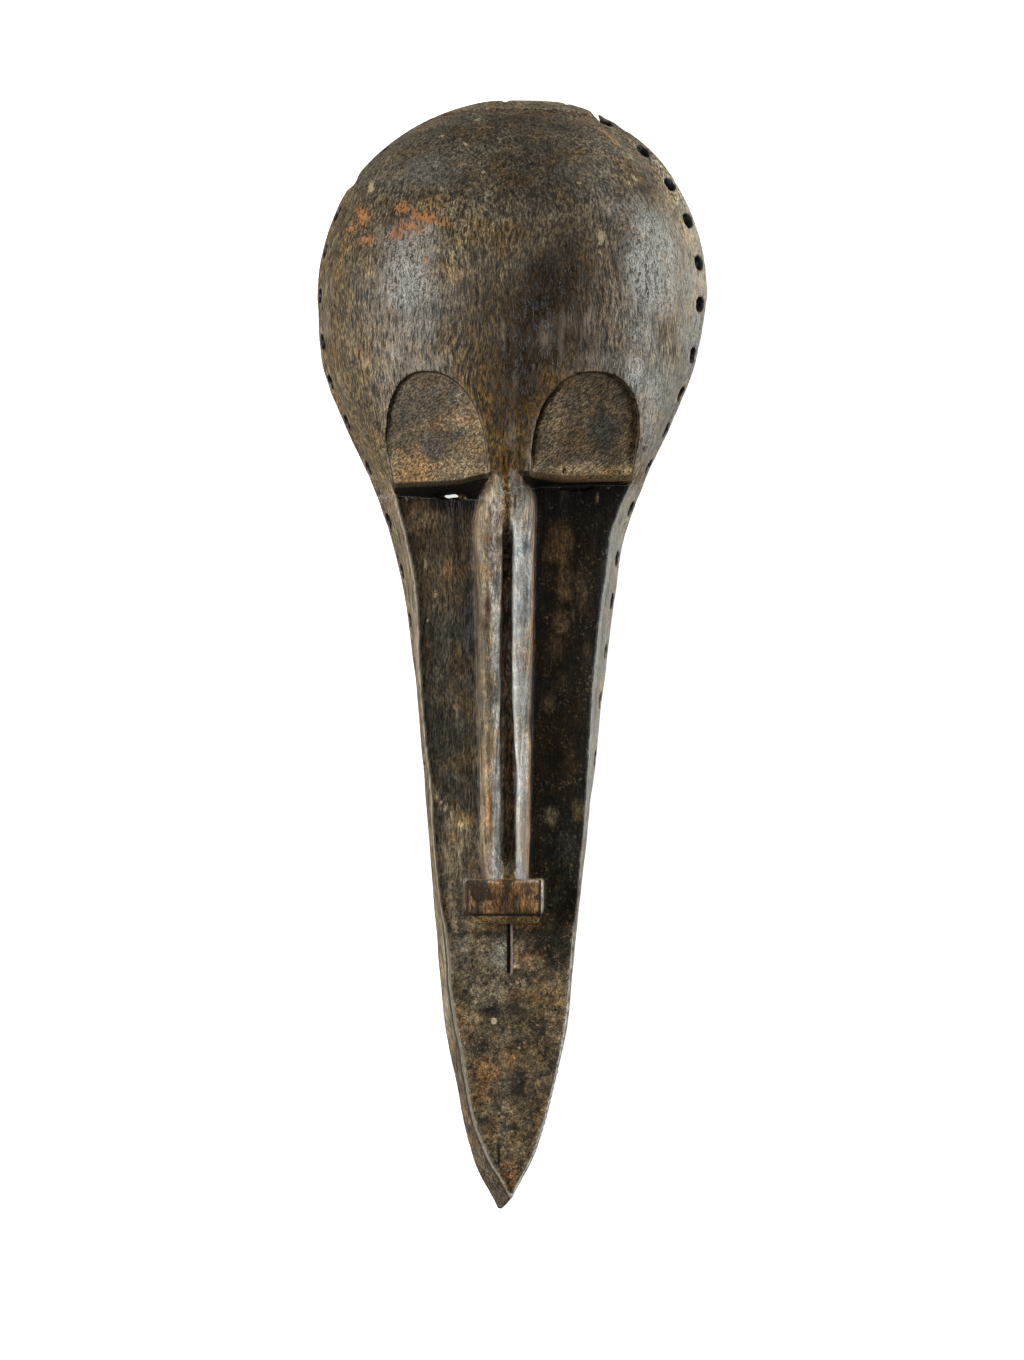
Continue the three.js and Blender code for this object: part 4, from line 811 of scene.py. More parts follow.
# places with a colour laid on: x, y, half sizes, turn, colour, amount; most are the wood's own colour, the few marked
# below are painted shade or painted bounce light
PATCHES = [
    (-43.0, 113.0, 9.0, 9.0, 0, (0.050, 0.048, 0.042), 0.8), (-28.6, 119.0, 4.5, 3.0, 20, (0.050, 0.048, 0.042), 0.8),
    (-50.0, 137.0, 12.0, 10.0, 0, (0.066, 0.053, 0.034), 0.7), (-26.7, 127.0, 4.5, 4.5, 0, (0.210, 0.145, 0.082), 0.7),
    (-28.0, 139.5, 1.8, 2.4, 0, (0.300, 0.230, 0.150), 0.8), (-50.8, 111.0, 2.2, 4.0, 20, (0.220, 0.145, 0.080), 0.7),
    (-64.3, 111.0, 3.2, 3.0, 0, (0.220, 0.145, 0.080), 0.7), (19.5, 112.0, 7.5, 14.0, 12, (0.170, 0.122, 0.070), 0.8), (36.0, 103.0, 20.0, 5.0, 2, (0.150, 0.110, 0.065), 0.8),
    (28.0, 137.0, 8.0, 8.0, 0, (0.105, 0.078, 0.045), 0.7), (50.0, 122.0, 9.0, 13.0, 0, (0.030, 0.026, 0.020), 0.85),
    (58.0, 141.0, 6.0, 6.0, 0, (0.045, 0.036, 0.024), 0.6), (60.4, 108.5, 1.2, 1.2, 0, (0.300, 0.200, 0.090), 0.9),
    (-4.0, 128.0, 8.0, 3.0, -6, (0.022, 0.016, 0.010), 0.75), (7.0, 118.0, 6.0, 2.4, 10, (0.030, 0.020, 0.011), 0.6),
    (-12.0, 146.0, 5.0, 3.0, 20, (0.100, 0.062, 0.026), 0.6), (12.0, 150.0, 5.0, 4.0, 40, (0.100, 0.060, 0.025), 0.6),
    (-41.8, 75.0, 5.0, 4.0, 0, (0.170, 0.115, 0.055), 0.7), (-52.0, 73.0, 7.0, 10.0, 0, (0.190, 0.132, 0.070), 0.85),
    (-35.5, 47.0, 3.6, 6.5, 0, (0.160, 0.090, 0.036), 0.8), (-44.0, 55.0, 3.0, 9.0, 0, (0.110, 0.072, 0.036), 0.5),
    (-30.0, 70.0, 4.0, 8.0, 0, (0.030, 0.024, 0.016), 0.6), (-24.0, 22.0, 3.6, 40.0, 0, (0.034, 0.030, 0.026), 0.75),
    (-32.6, -29.3, 2.0, 7.0, 25, (0.240, 0.190, 0.120), 0.7), (-40.0, -45.0, 4.0, 20.0, 0, (0.040, 0.036, 0.028), 0.6),
    (-25.0, -96.0, 6.0, 9.0, 0, (0.160, 0.120, 0.070), 0.6),
    (-36.0, -108.0, 3.0, 9.0, 10, (0.160, 0.130, 0.085), 0.6), (25.0, 62.0, 8.0, 14.0, 0, (0.150, 0.096, 0.044), 0.75), (46.5, 84.5, 2.2, 2.2, 0, (0.120, 0.082, 0.042), 0.8), (19.5, 57.0, 3.6, 5.0, 0, (0.120, 0.080, 0.040), 0.6), (24.0, 4.0, 4.0, 9.0, 0, (0.085, 0.056, 0.030), 0.7), (29.0, 44.0, 5.0, 7.0, 0, (0.120, 0.080, 0.040), 0.6),
    (37.5, 36.0, 3.0, 12.0, 0, (0.110, 0.074, 0.038), 0.7), (26.0, 19.0, 4.6, 7.0, 0, (0.170, 0.112, 0.058), 0.8), (26.0, -15.0, 3.6, 6.0, 0, (0.080, 0.056, 0.030), 0.7),
    (36.0, -85.5, 3.2, 4.5, 0, (0.110, 0.082, 0.036), 0.75), (20.8, -89.4, 3.4, 3.4, 0, (0.200, 0.165, 0.100), 0.95),
    # painted shadow of the brow on the panel's top, left of the nose
    (-27.5, 82.0, 9.0, 3.6, 0, (0.008, 0.006, 0.004), 0.9),
    (40.0, 0.0, 3.0, 8.0, 0, (0.060, 0.042, 0.022), 0.6), (32.0, -60.0, 4.0, 14.0, 0, (0.050, 0.038, 0.020), 0.5), (36.5, -84.0, 3.2, 4.5, 0, (0.130, 0.105, 0.050), 0.8), (29.5, -105.0, 6.0, 9.0, 0, (0.050, 0.046, 0.034), 0.6),
    (-7.0, -164.0, 4.6, 8.5, 8, (0.330, 0.300, 0.215), 0.9), (5.6, -166.0, 5.2, 7.5, 0, (0.300, 0.200, 0.115), 0.85),
    # painted bounce light: the two orange lines under the mouth block
    (-9.5, -149.5, 8.0, 2.0, 0, (0.230, 0.120, 0.042), 0.85), (8.0, -148.4, 9.0, 1.4, 0, (0.200, 0.100, 0.036), 0.85),
    (-15.0, -232.0, 9.0, 12.0, 0, (0.180, 0.105, 0.050), 0.6), (25.5, -188.0, 4.2, 9.0, 0, (0.170, 0.125, 0.060), 0.8), (-16.0, -228.0, 6.0, 10.0, 15, (0.260, 0.150, 0.062), 0.75), (-2.0, -224.0, 4.5, 8.0, 0, (0.240, 0.145, 0.065), 0.6),
    (-2.0, -286.0, 5.0, 9.0, 0, (0.200, 0.120, 0.060), 0.7), (-12.0, -262.0, 5.0, 12.0, 0, (0.150, 0.100, 0.052), 0.6), (7.0, -250.0, 5.0, 14.0, 0, (0.090, 0.068, 0.044), 0.6),
    (-26.0, -205.0, 4.0, 10.0, 0, (0.200, 0.125, 0.055), 0.6), (16.0, -212.0, 5.0, 10.0, 25, (0.045, 0.036, 0.024), 0.7), (-12.0, -183.0, 9.0, 5.0, 0, (0.240, 0.205, 0.140), 0.6),
    (-30.0, -150.0, 5.0, 14.0, 0, (0.120, 0.104, 0.074), 0.7), (14.0, -176.0, 5.0, 7.0, 0, (0.180, 0.130, 0.078), 0.6),
    (14.0, -205.0, 7.0, 9.0, 0, (0.050, 0.038, 0.024), 0.6), (-2.0, -196.0, 8.0, 7.0, 0, (0.060, 0.050, 0.036), 0.5),
    (4.0, -236.0, 6.0, 10.0, 0, (0.060, 0.044, 0.026), 0.5), (21.0, -155.0, 5.0, 12.0, 0, (0.040, 0.030, 0.018), 0.8),
    (-24.0, -170.0, 4.0, 16.0, 0, (0.070, 0.060, 0.044), 0.5), (-1.0, -133.0, 4.0, 9.0, 0, (0.034, 0.022, 0.012), 0.7),
    (-15.0, -133.0, 5.0, 5.0, 0, (0.160, 0.100, 0.045), 0.6), (-13.5, 26.0, 1.6, 6.0, 0, (0.160, 0.070, 0.045), 0.7),
    (-5.6, 31.0, 1.2, 7.0, 0, (0.200, 0.080, 0.050), 0.8), (-5.6, -3.0, 1.2, 6.0, 0, (0.200, 0.090, 0.050), 0.7),
    (-13.2, -86.0, 1.9, 15.0, 0, (0.420, 0.215, 0.080), 0.9), (-14.0, -114.0, 4.0, 6.5, 0, (0.230, 0.150, 0.110), 0.8),
    (-13.0, -62.0, 2.0, 9.0, 0, (0.300, 0.180, 0.090), 0.6),
    (-11.8, -194.6, 6.0, 6.0, 0, (0.034, 0.034, 0.032), 0.8), (-18.0, -214.0, 7.5, 6.0, 0, (0.038, 0.032, 0.024), 0.8),
    (2.8, -235.0, 4.5, 8.5, 0, (0.030, 0.023, 0.016), 0.85), (13.0, -204.0, 7.0, 6.0, 0, (0.046, 0.038, 0.026), 0.75),
    (-14.7, -229.0, 9.5, 6.5, 0, (0.300, 0.155, 0.060), 0.75), (-18.0, -243.0, 4.0, 8.0, 0, (0.220, 0.135, 0.060), 0.7),
    (0.0, -286.0, 5.5, 5.5, 0, (0.290, 0.165, 0.078), 0.75), (-4.5, -261.0, 3.4, 4.0, 0, (0.115, 0.112, 0.108), 0.7),
    (-29.0, -199.0, 3.0, 7.0, 0, (0.250, 0.150, 0.062), 0.75), (4.5, -180.0, 5.0, 4.5, 0, (0.280, 0.220, 0.140), 0.7),
    # painted shadow cast by the mouth block onto the chin at its right
    (26.5, -160.0, 7.0, 17.0, 0, (0.022, 0.020, 0.014), 0.92), (17.5, -158.0, 5.0, 8.0, 0, (0.018, 0.014, 0.009), 0.85),
    (23.0, -225.0, 4.0, 14.0, 0, (0.055, 0.044, 0.030), 0.7), (6.0, -283.0, 3.0, 7.0, 0, (0.060, 0.044, 0.028), 0.7),
    (5.4, -168.5, 5.4, 6.0, 0, (0.520, 0.360, 0.215), 0.9), (-4.2, -163.0, 3.0, 10.5, 10, (0.430, 0.400, 0.290), 0.85),
    # the first here, a dark strip under the mouth block, is painted shade
    (0.0, -152.5, 24.0, 3.0, 0, (0.034, 0.022, 0.013), 0.75), (-28.0, -160.0, 5.0, 14.0, 0, (0.150, 0.140, 0.110), 0.5),
    (28.5, 34.0, 5.0, 5.0, 0, (0.160, 0.105, 0.052), 0.8), (20.0, -27.0, 3.0, 6.0, 0, (0.110, 0.076, 0.038), 0.8),
    (26.0, -130.0, 4.0, 10.0, 0, (0.070, 0.064, 0.046), 0.7), (21.0, -87.5, 3.6, 3.6, 0, (0.260, 0.215, 0.130), 0.95),
    (-6.0, 127.0, 6.0, 8.0, 0, (0.034, 0.024, 0.013), 0.7), (36.0, 101.0, 22.0, 2.2, 1, (0.330, 0.235, 0.135), 0.8)]
for px, py, rx, ry, turn, shade, amount in PATCHES:
    t = math.radians(turn)
    u, v = (x - px) * math.cos(t) + (y - py) * math.sin(t), -(x - px) * math.sin(t) + (y - py) * math.cos(t)
    m = smooth(1.25, 0.55, np.hypot(u / rx, v / ry) + 0.22 * wobble) * amount * outer * (z > 20)
    tone = lay(tone, shade, m)

# soft gains on the tone: x, y, half sizes, gain; those along the crown's rim, at (0, 306) and (74, 284), are painted
# light
SHADES = [(9, 226, 8, 8, 0.80), (44, 172, 12, 18, 0.72), (47, 148, 8, 9, 0.75), (-60, 196, 14, 20, 0.80), (-17, 277, 14, 7, 0.80), (-33, 135, 8, 8, 0.78),
          (-60, 120, 6, 10, 0.86), (-105, 178, 6, 12, 0.75), (-47, 238, 14, 8, 1.2), (28, 205, 14, 7, 1.25), (78, 183, 6, 8, 1.2), (27, 252, 22, 10, 0.86),
          (12, 252, 38, 26, 0.80), (-55, 263, 22, 13, 0.80), (43, 169, 12, 17, 0.80), (-102, 191, 8, 24, 0.80),
          (-28, 175, 22, 26, 1.20), (31, 219, 17, 10, 1.25), (-40, 139, 16, 10, 0.84), (88, 256, 12, 20, 1.15), (80, 137, 8, 17, 0.88),
          (54, 146, 7, 9, 0.82), (0, 306, 60, 8, 1.25), (74, 284, 16, 12, 1.2), (-60, 238, 20, 8, 1.1)]
for px, py, rx, ry, gain in SHADES:
    m = smooth(1.35, 0.4, np.hypot((x - px) / rx, (y - py) / ry) + 0.15 * wobble) * outer
    tone = tone * (1 + (gain - 1) * m)[:, None]

# painted light: the outermost band round the crown made lighter
tone = tone * (1 + 0.35 * smooth(0.90, 0.985, round_the_crown) * (y > 199) * outer * (x > -60))[:, None]

# thin pale scratches, each a chain of points: half width, colour, amount, points
TRAILS = [(1.1, (0.430, 0.375, 0.260), 0.9, [(-45.2, -70.4), (-40.5, -79.5), (-34.8, -86.8), (-28.0, -92.5), (-20.5, -96.1)]),
          (0.9, (0.400, 0.330, 0.210), 0.75, [(-34.9, -122.0), (-34.2, -134.0), (-32.8, -141.0), (-32.0, -152.0)]),
          (0.8, (0.400, 0.330, 0.210), 0.7, [(-36.0, -104.0), (-34.5, -112.0), (-35.5, -120.0)]),
          (0.8, (0.330, 0.170, 0.070), 0.7, [(49.5, 291.5), (53.0, 287.5), (56.5, 282.0)]),
          (0.8, (0.330, 0.270, 0.170), 0.7, [(-20.5, -96.1), (-27.0, -101.0), (-30.5, -112.0), (-28.0, -118.0)]),
          (0.7, (0.020, 0.015, 0.011), 0.85, [(-7.6, -266.0), (-7.8, -272.0), (-7.4, -279.0)])]


def chain_distance(points):
    best = np.full(count, 1e3)
    for (ax, ay), (bx, by) in zip(points[:-1], points[1:]):
        k = np.clip(((x - ax) * (bx - ax) + (y - ay) * (by - ay)) / ((bx - ax) ** 2 + (by - ay) ** 2), 0, 1)
        best = np.minimum(best, np.hypot(x - ax - k * (bx - ax), y - ay - k * (by - ay)))
    return best


for width, shade, amount, chain in TRAILS:
    m = smooth(width + 1.0, width * 0.3, chain_distance(chain) + 0.15 * wobble) * smooth(-1.0, 0.0, noise(P, 3.5, 87)) * amount
    tone = lay(tone, shade, m * outer * (NORMAL[:, 2] > 0.1))

# painted shade in the corners and hollows, wear on the edges
fine = sample(CURVE_FINE, P)
wide = sample(CURVE_WIDE, P)
wear = smooth(0.22, 0.62, fine) * (1 - 0.7 * Z['inner']) * (1 - Z['burnt']) * (1 - 0.8 * Z['block'])
hollow_shade = np.maximum(smooth(-0.22, -0.75, fine) * 0.7, smooth(-0.5, -2.6, wide) * 0.75)
hollow_shade = hollow_shade * (1 - 0.7 * Z['panel'] * smooth(-36, -42, x) * smooth(50, 60, y))


def spots(table, grow=1.5):
    m = np.zeros(count)
    for sx, sy, rx, ry, *turn in table:
        t = math.radians(turn[0] if turn else 0)
        u, v = (x - sx) * math.cos(t) + (y - sy) * math.sin(t), -(x - sx) * math.sin(t) + (y - sy) * math.cos(t)
        m = np.maximum(m, np.clip(1.0 - np.sqrt((u / (rx * grow)) ** 2 + (v / (ry * grow)) ** 2), 0, 1))
    return m * outer * (NORMAL[:, 2] > 0.1)


STAINS = [(-81.6, 239.8, 3.3, 6.0, 10), (-79.1, 226.2, 4.3, 2.7, 10), (-88.4, 233.4, 2.7, 2.2, 0), (-59.8, 241.9, 4.3, 3.2, 15),
          (-47.7, 236.5, 9.2, 2.7, -20), (-35.7, 231.5, 4.8, 2.1, -20), (-62.4, 228.4, 4.9, 3.8, 30), (-46.7, 212.6, 1.6, 2.1, 0),
          (-55.3, 231.3, 6.5, 2.7, -20)]
FLECKS = [(-18.9, 293.8, 2.7, 1.6), (-24.8, 278.1, 2.7, 1.6), (-15.9, 260.8, 1.6, 1.1), (-12.7, 269.2, 1.6, 1.1),
          (63.4, 257.0, 2.2, 1.6), (66.3, 261.0, 1.6, 1.1), (35.9, 254.9, 1.6, 1.1), (48.1, 225.3, 2.7, 4.3), (47.0, 221.4, 1.1, 1.6),
          (47.0, 216.4, 1.1, 1.6), (74.8, 271.9, 1.1, 1.1), (92.5, 239.0, 2.2, 1.7), (-38.6, 284.1, 1.6, 1.1), (-77.5, 256.6, 2.2, 4.4),
          (70.6, 178.0, 1.1, 1.1), (65.6, 170.0, 1.6, 1.6), (47.1, 85.7, 2.5, 2.2), (16.4, 83.0, 1.1, 1.1), (-9.9, -202.4, 1.7, 2.2),
          (26.5, -27.1, 1.4, 1.6), (20.6, -89.1, 1.6, 1.6), (-36.0, -134.3, 1.1, 2.7), (-33.2, -148.1, 1.1, 3.3), (-34.8, -117.7, 1.1, 2.2),
          (-47.8, 49.4, 1.1, 2.2), (-41.5, 34.1, 1.6, 2.2), (-46.4, 19.9, 1.6, 2.2), (-27.8, -205.7, 1.7, 2.2), (3.0, -215.7, 1.7, 1.7),
          (-36.5, -105.7, 2.0, 2.0), (-35.4, -113.4, 1.6, 2.4), (-32.8, -124.9, 1.7, 1.7), (-28.3, -128.7, 1.3, 1.3), (-32.8, -137.0, 2.0, 2.0),
          (-32.8, -143.0, 1.4, 1.6), (-30.7, -150.5, 1.4, 2.6), (-29.9, -157.5, 1.5, 1.5), (-34.9, -90.3, 2.0, 2.0), (22.4, -98.4, 0.9, 0.9),
          (34.1, -101.8, 1.2, 1.2), (-34.0, -165.0, 1.1, 2.0), (-8.0, -178.0, 1.0, 1.0), (9.0, -195.0, 1.2, 1.0), (17.5, -193.0, 1.0, 1.0)]
stain = spots(STAINS, 2.0)
fleck = spots(FLECKS, 1.2)

# painted highlight: a pale broken net where the lamps glint on the dome's sides, the right wall and the right ridge
HIGHLIGHT_PATCHES = [(-54, 203, 19, 25, 0.50), (-56, 226, 22, 12, 0.42), (-50, 178, 18, 22, 0.30), (78, 214, 19, 36, 0.72), (70, 176, 12, 18, 0.45), (60, 240, 14, 10, 0.3),
          (-60, 165, 12, 12, 0.3), (-30, 190, 14, 20, 0.22), (40, 262, 20, 12, 0.2), (-45, 262, 26, 14, 0.25), (50, 158, 20, 7, 0.28), (66, 152, 8, 16, 0.6),
          (-46, 156, 16, 4, 0.4)]
highlight_net = 0.05 * np.ones(count)
for px, py, rx, ry, amount in HIGHLIGHT_PATCHES:
    highlight_net = np.maximum(highlight_net, amount * smooth(1.45, 0.25, np.hypot((x - px) / rx, (y - py) / ry) + 0.15 * wobble))
highlight_net = np.maximum(highlight_net, 0.5 * smooth(84, 100, x + 3 * wobble) * smooth(110, 150, y) * smooth(272, 240, y))
highlight_net = np.maximum(highlight_net, 0.42 * smooth(64, 74, x) * smooth(170, 150, y) * smooth(90, 110, y))
highlight_net = highlight_net * (1 - Z['pads']) * (1 - Z['panel']) * (1 - Z['block']) * (1 - Z['under'])
highlight_net = highlight_net * (1 - smooth(34, 20, np.abs(x + 1)) * smooth(170, 150, y)) * (1 - Z['burnt'])
highlight_net = np.maximum(highlight_net, 0.5 * Z['side'] * (x > 0)) * mix(0.5, 1.0, smooth(-170, -130, y)) * (1 - Z['burnt'])
highlight_net = np.maximum(highlight_net, 0.35 * Z['ridge_right'] * smooth(4.0, 0.0, x - through(RIDGE_RIGHT, 2)(y)))


def attribute(name, rgba):
    at = mesh.attributes.new(name, 'FLOAT_COLOR', 'POINT')
    at.data.foreach_set("color", np.stack([np.broadcast_to(v, count) for v in rgba], 1).astype(F).ravel())


scab = Z['panel'] * mix(0.0, 1.0, smooth(-100, -160, y)) + 0.35 * Z['panel'] * (1 - left) * smooth(-165, -100, y)
attribute("tone", (tone[:, 0], tone[:, 1], tone[:, 2], 1.0))
attribute("marks", (wear, hollow_shade, stain, Z['brow']))
attribute("marks_more", (fleck, np.clip(scab + 0.2 * Z['block'], 0, 1), Z['pads'], Z['panel'] * (1 - scab)))
# painted shade: where the dark valley runs down the forehead between the lit sides of the dome
shade_band = smooth(1.75, 0.2, np.hypot((x - 16 - 0.30 * (y - 182)) / 19, (y - 180) / 46) + 0.25 * wobble)
shade_band = np.maximum(shade_band, smooth(1.7, 0.2, np.hypot((x - 18) / 11, (y - 174) / 17)) * 1.7)
attribute("lines", (Z['lip_l'], Z['lip_r'], smooth(-120, -160, y), shade_band * outer * (1 - Z['pads'])))
attribute("place", (Z['inner'], np.maximum(Z['ridge_left'], Z['ridge_right']), highlight_net * outer, Z['pad_line']))

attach(mask, "root")
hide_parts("mask")


# ------------------------------------------------------------------ the wood
wood = bpy.data.materials.new("worn_dark_wood")
wood.use_nodes = True
tree = wood.node_tree
bsdf = tree.nodes["Principled BSDF"]


def node(kind, props=None, **inputs):
    n = tree.nodes.new(kind)
    for k, v in (props or {}).items():
        setattr(n, k, v)
    for k, v in inputs.items():
        s = n.inputs[int(k[1:])] if k[0] == 'i' and k[1:].isdigit() else n.inputs[k]
        if isinstance(v, bpy.types.NodeSocket):
            tree.links.new(v, s)
        else:
            s.default_value = v
    return n


def math_(op, a, b=0.0, c=0.0, clamp=False):
    return node("ShaderNodeMath", dict(operation=op, use_clamp=clamp), i0=a, i1=b, i2=c).outputs[0]


def times(*v):
    out = v[0]
    for w in v[1:]:
        out = math_('MULTIPLY', out, w)
    return out


def plus(*v):
    out = v[0]
    for w in v[1:]:
        out = math_('ADD', out, w)
    return out


def vec(op, a, b):
    return node("ShaderNodeVectorMath", dict(operation=op), i0=a, i1=b).outputs[0]


def cloud(v, scale, detail=2.0, rough=0.5, out="Fac"):
    return node("ShaderNodeTexNoise", None, Vector=v, Scale=scale, Detail=detail, Roughness=rough).outputs[out]


def ramp(v, a, b, lo=0.0, hi=1.0):
    n = node("ShaderNodeMapRange", dict(interpolation_type='SMOOTHSTEP'))
    tree.links.new(v, n.inputs["Value"])
    for k, w in (("From Min", a), ("From Max", b), ("To Min", lo), ("To Max", hi)):
        n.inputs[k].default_value = w
    return n.outputs["Result"]


def grey(v):
    return node("ShaderNodeCombineColor", None, Red=v, Green=v, Blue=v).outputs[0]


def blend(amount, a, b, how='MIX'):
    n = node("ShaderNodeMix", dict(data_type='RGBA', blend_type=how, clamp_factor=True))
    for s, v in ((n.inputs[0], amount), (n.inputs[6], a), (n.inputs[7], b)):
        if isinstance(v, bpy.types.NodeSocket):
            tree.links.new(v, s)
        else:
            s.default_value = v if not isinstance(v, tuple) else (*v, 1.0)[:4]
    return n.outputs[2]


def attr(name):
    at = node("ShaderNodeAttribute", dict(attribute_name=name, attribute_type='GEOMETRY'))
    sep = node("ShaderNodeSeparateColor", None, Color=at.outputs["Color"])
    return at.outputs["Color"], sep.outputs[0], sep.outputs[1], sep.outputs[2]


where = vec('MULTIPLY', node("ShaderNodeTexCoord").outputs["Object"], (1000, 1000, 1000))
sway = vec('MULTIPLY', vec('SUBTRACT', cloud(where, 0.022, 1, 0.5, "Color"), (0.5, 0.5, 0.5)), (9, 0, 9))
sway2 = vec('MULTIPLY', vec('SUBTRACT', cloud(where, 0.16, 1, 0.5, "Color"), (0.5, 0.5, 0.5)), (1.4, 0, 1.4))
bent = vec('ADD', vec('ADD', where, sway), sway2)
turned = node("ShaderNodeVectorRotate", dict(rotation_type='Z_AXIS'), Vector=where, Angle=0.9).outputs[0]

tone_c, _, _, _ = attr("tone")
_, wear_s, hollow_shade_s, stain_s = attr("marks")
brow_s = node("ShaderNodeAttribute", dict(attribute_name="marks", attribute_type='GEOMETRY')).outputs["Alpha"]
here = node("ShaderNodeSeparateXYZ", None, Vector=where).outputs
_, fleck_s, scab_s, pad_s = attr("marks_more")
panel_s = node("ShaderNodeAttribute", dict(attribute_name="marks_more", attribute_type='GEOMETRY')).outputs["Alpha"]
_, inner_s, ridge_s, highlight_net_s = attr("place")
line_s = node("ShaderNodeAttribute", dict(attribute_name="place", attribute_type='GEOMETRY')).outputs["Alpha"]
smooth_s = math_('MAXIMUM', pad_s, scab_s)
not_smooth = math_('SUBTRACT', 1.0, times(smooth_s, 0.8), clamp=True)

strokes = cloud(vec('MULTIPLY', bent, (1.0, 0.16, 1.0)), 0.72, 3, 0.70)
hairs = cloud(vec('ADD', vec('MULTIPLY', bent, (1.0, 0.28, 1.0)), (31, 7, 11)), 1.25, 2, 0.6)
streaks = cloud(vec('MULTIPLY', bent, (1.0, 0.05, 1.0)), 0.42, 3, 0.6)
hatch = cloud(vec('MULTIPLY', vec('ADD', turned, sway2), (1.0, 0.36, 1.0)), 0.95, 2, 0.6)
dust = cloud(where, 1.15, 3, 0.7)
mottle = cloud(where, 0.10, 5, 0.68)
patch = cloud(where, 0.026, 3, 0.55)
hue = cloud(vec('ADD', where, (90, 40, 10)), 0.055, 5, 0.66)
crust = cloud(vec('MULTIPLY', vec('ADD', turned, (7, 3, 5)), (1.0, 0.62, 1.0)), 0.30, 6, 0.80)
web = cloud(vec('MULTIPLY', vec('ADD', bent, (3, 9, 5)), (1.0, 0.55, 1.0)), 0.36, 4, 0.74)

dark = times(ramp(strokes, 0.46, 0.34), not_smooth, math_('SUBTRACT', 1.0, times(panel_s, 0.6)))
color = blend(1.0, tone_c, grey(times(ramp(patch, 0.3, 0.7, 0.82, 1.18), ramp(mottle, 0.3, 0.7, 0.62, 1.38))), 'MULTIPLY')
color = blend(ramp(hue, 0.50, 0.64), color, blend(1.0, color, (1.20, 1.00, 0.76), 'MULTIPLY'))
color = blend(ramp(hue, 0.46, 0.34), color, blend(1.0, color, (0.88, 0.96, 1.07), 'MULTIPLY'))
# dark crust and bare ochre wood, low on the face
blotch = cloud(vec('ADD', where, (60, 3, 5)), 0.085, 5, 0.72)
color = blend(times(scab_s, ramp(blotch, 0.53, 0.40), 0.75), color, blend(1.0, color, (0.25, 0.25, 0.26), 'MULTIPLY'))
color = blend(times(scab_s, ramp(crust, 0.465, 0.42), 0.85), color, blend(1.0, color, (0.17, 0.17, 0.17), 'MULTIPLY'))
color = blend(times(scab_s, ramp(crust, 0.55, 0.61), 0.8), color, blend(1.0, color, (2.3, 2.0, 1.7), 'MULTIPLY'))
specks = cloud(vec('ADD', where, (1, 17, 4)), 0.62, 3, 0.7)
color = blend(times(scab_s, ramp(plus(specks, times(math_('SUBTRACT', blotch, 0.5), 0.5)), 0.60, 0.68), 0.8), color, (0.33, 0.245, 0.145))
color = blend(times(scab_s, ramp(specks, 0.42, 0.36), 0.8), color, (0.016, 0.013, 0.009))
# fibres, pores, fine cuts of the blade
pores = cloud(vec('ADD', vec('MULTIPLY', bent, (1.0, 0.20, 1.0)), (11, 2, 5)), 1.05, 1, 0.5)
fine_grain = times(ramp(strokes, 0.37, 0.63, 0.22, 1.78), ramp(hairs, 0.34, 0.66, 0.42, 1.58), ramp(pores, 0.28, 0.42, 0.25, 1.10))
calm_grain = times(ramp(strokes, 0.34, 0.66, 0.50, 1.50), ramp(hairs, 0.34, 0.66, 0.55, 1.45), ramp(pores, 0.28, 0.42, 0.35, 1.08))
grains = cloud(vec('ADD', where, (5, 1, 9)), 0.55, 4, 0.75)
fine_pad = times(ramp(hatch, 0.36, 0.64, 0.38, 1.62), ramp(dust, 0.34, 0.66, 0.50, 1.50))
fine_chin = times(ramp(grains, 0.36, 0.64, 0.60, 1.40), ramp(dust, 0.34, 0.66, 0.72, 1.28), ramp(hairs, 0.34, 0.66, 0.75, 1.25))
fine_face = node("ShaderNodeMix", dict(data_type='FLOAT'), i0=pad_s, i2=fine_chin, i3=fine_pad).outputs[0]
long_grain = times(ramp(streaks, 0.34, 0.66, 0.45, 1.5), ramp(hairs, 0.34, 0.66, 0.6, 1.4))
grain_mix = node("ShaderNodeMix", dict(data_type='FLOAT'), i0=panel_s, i2=fine_grain, i3=calm_grain).outputs[0]
grain_mix = node("ShaderNodeMix", dict(data_type='FLOAT'), i0=smooth_s, i2=grain_mix, i3=fine_face).outputs[0]
grain_mix = node("ShaderNodeMix", dict(data_type='FLOAT'), i0=ridge_s, i2=grain_mix, i3=long_grain).outputs[0]
grain_mix = node("ShaderNodeMix", dict(data_type='FLOAT'), i0=times(highlight_net_s, 1.1), i2=grain_mix, i3=1.0).outputs[0]
color = blend(1.0, color, grey(times(grain_mix, ramp(dust, 0.3, 0.7, 0.72, 1.28))), 'MULTIPLY')
# painted shade: the dark valley down the forehead between the lit sides of the dome, ragged along its fibres
shade_band_s = node("ShaderNodeAttribute", dict(attribute_name="lines", attribute_type='GEOMETRY')).outputs["Alpha"]
swept_shade = plus(shade_band_s, times(math_('SUBTRACT', mottle, 0.5), 1.1), times(math_('SUBTRACT', strokes, 0.5), 1.0), times(math_('SUBTRACT', hue, 0.5), 0.6))
swept_shade = times(ramp(swept_shade, 0.22, 0.95), ramp(shade_band_s, 0.0, 0.2))
color = blend(times(swept_shade, 0.92), color, blend(1.0, (0.016, 0.010, 0.0055, 1.0), grey(grain_mix), 'MULTIPLY'))
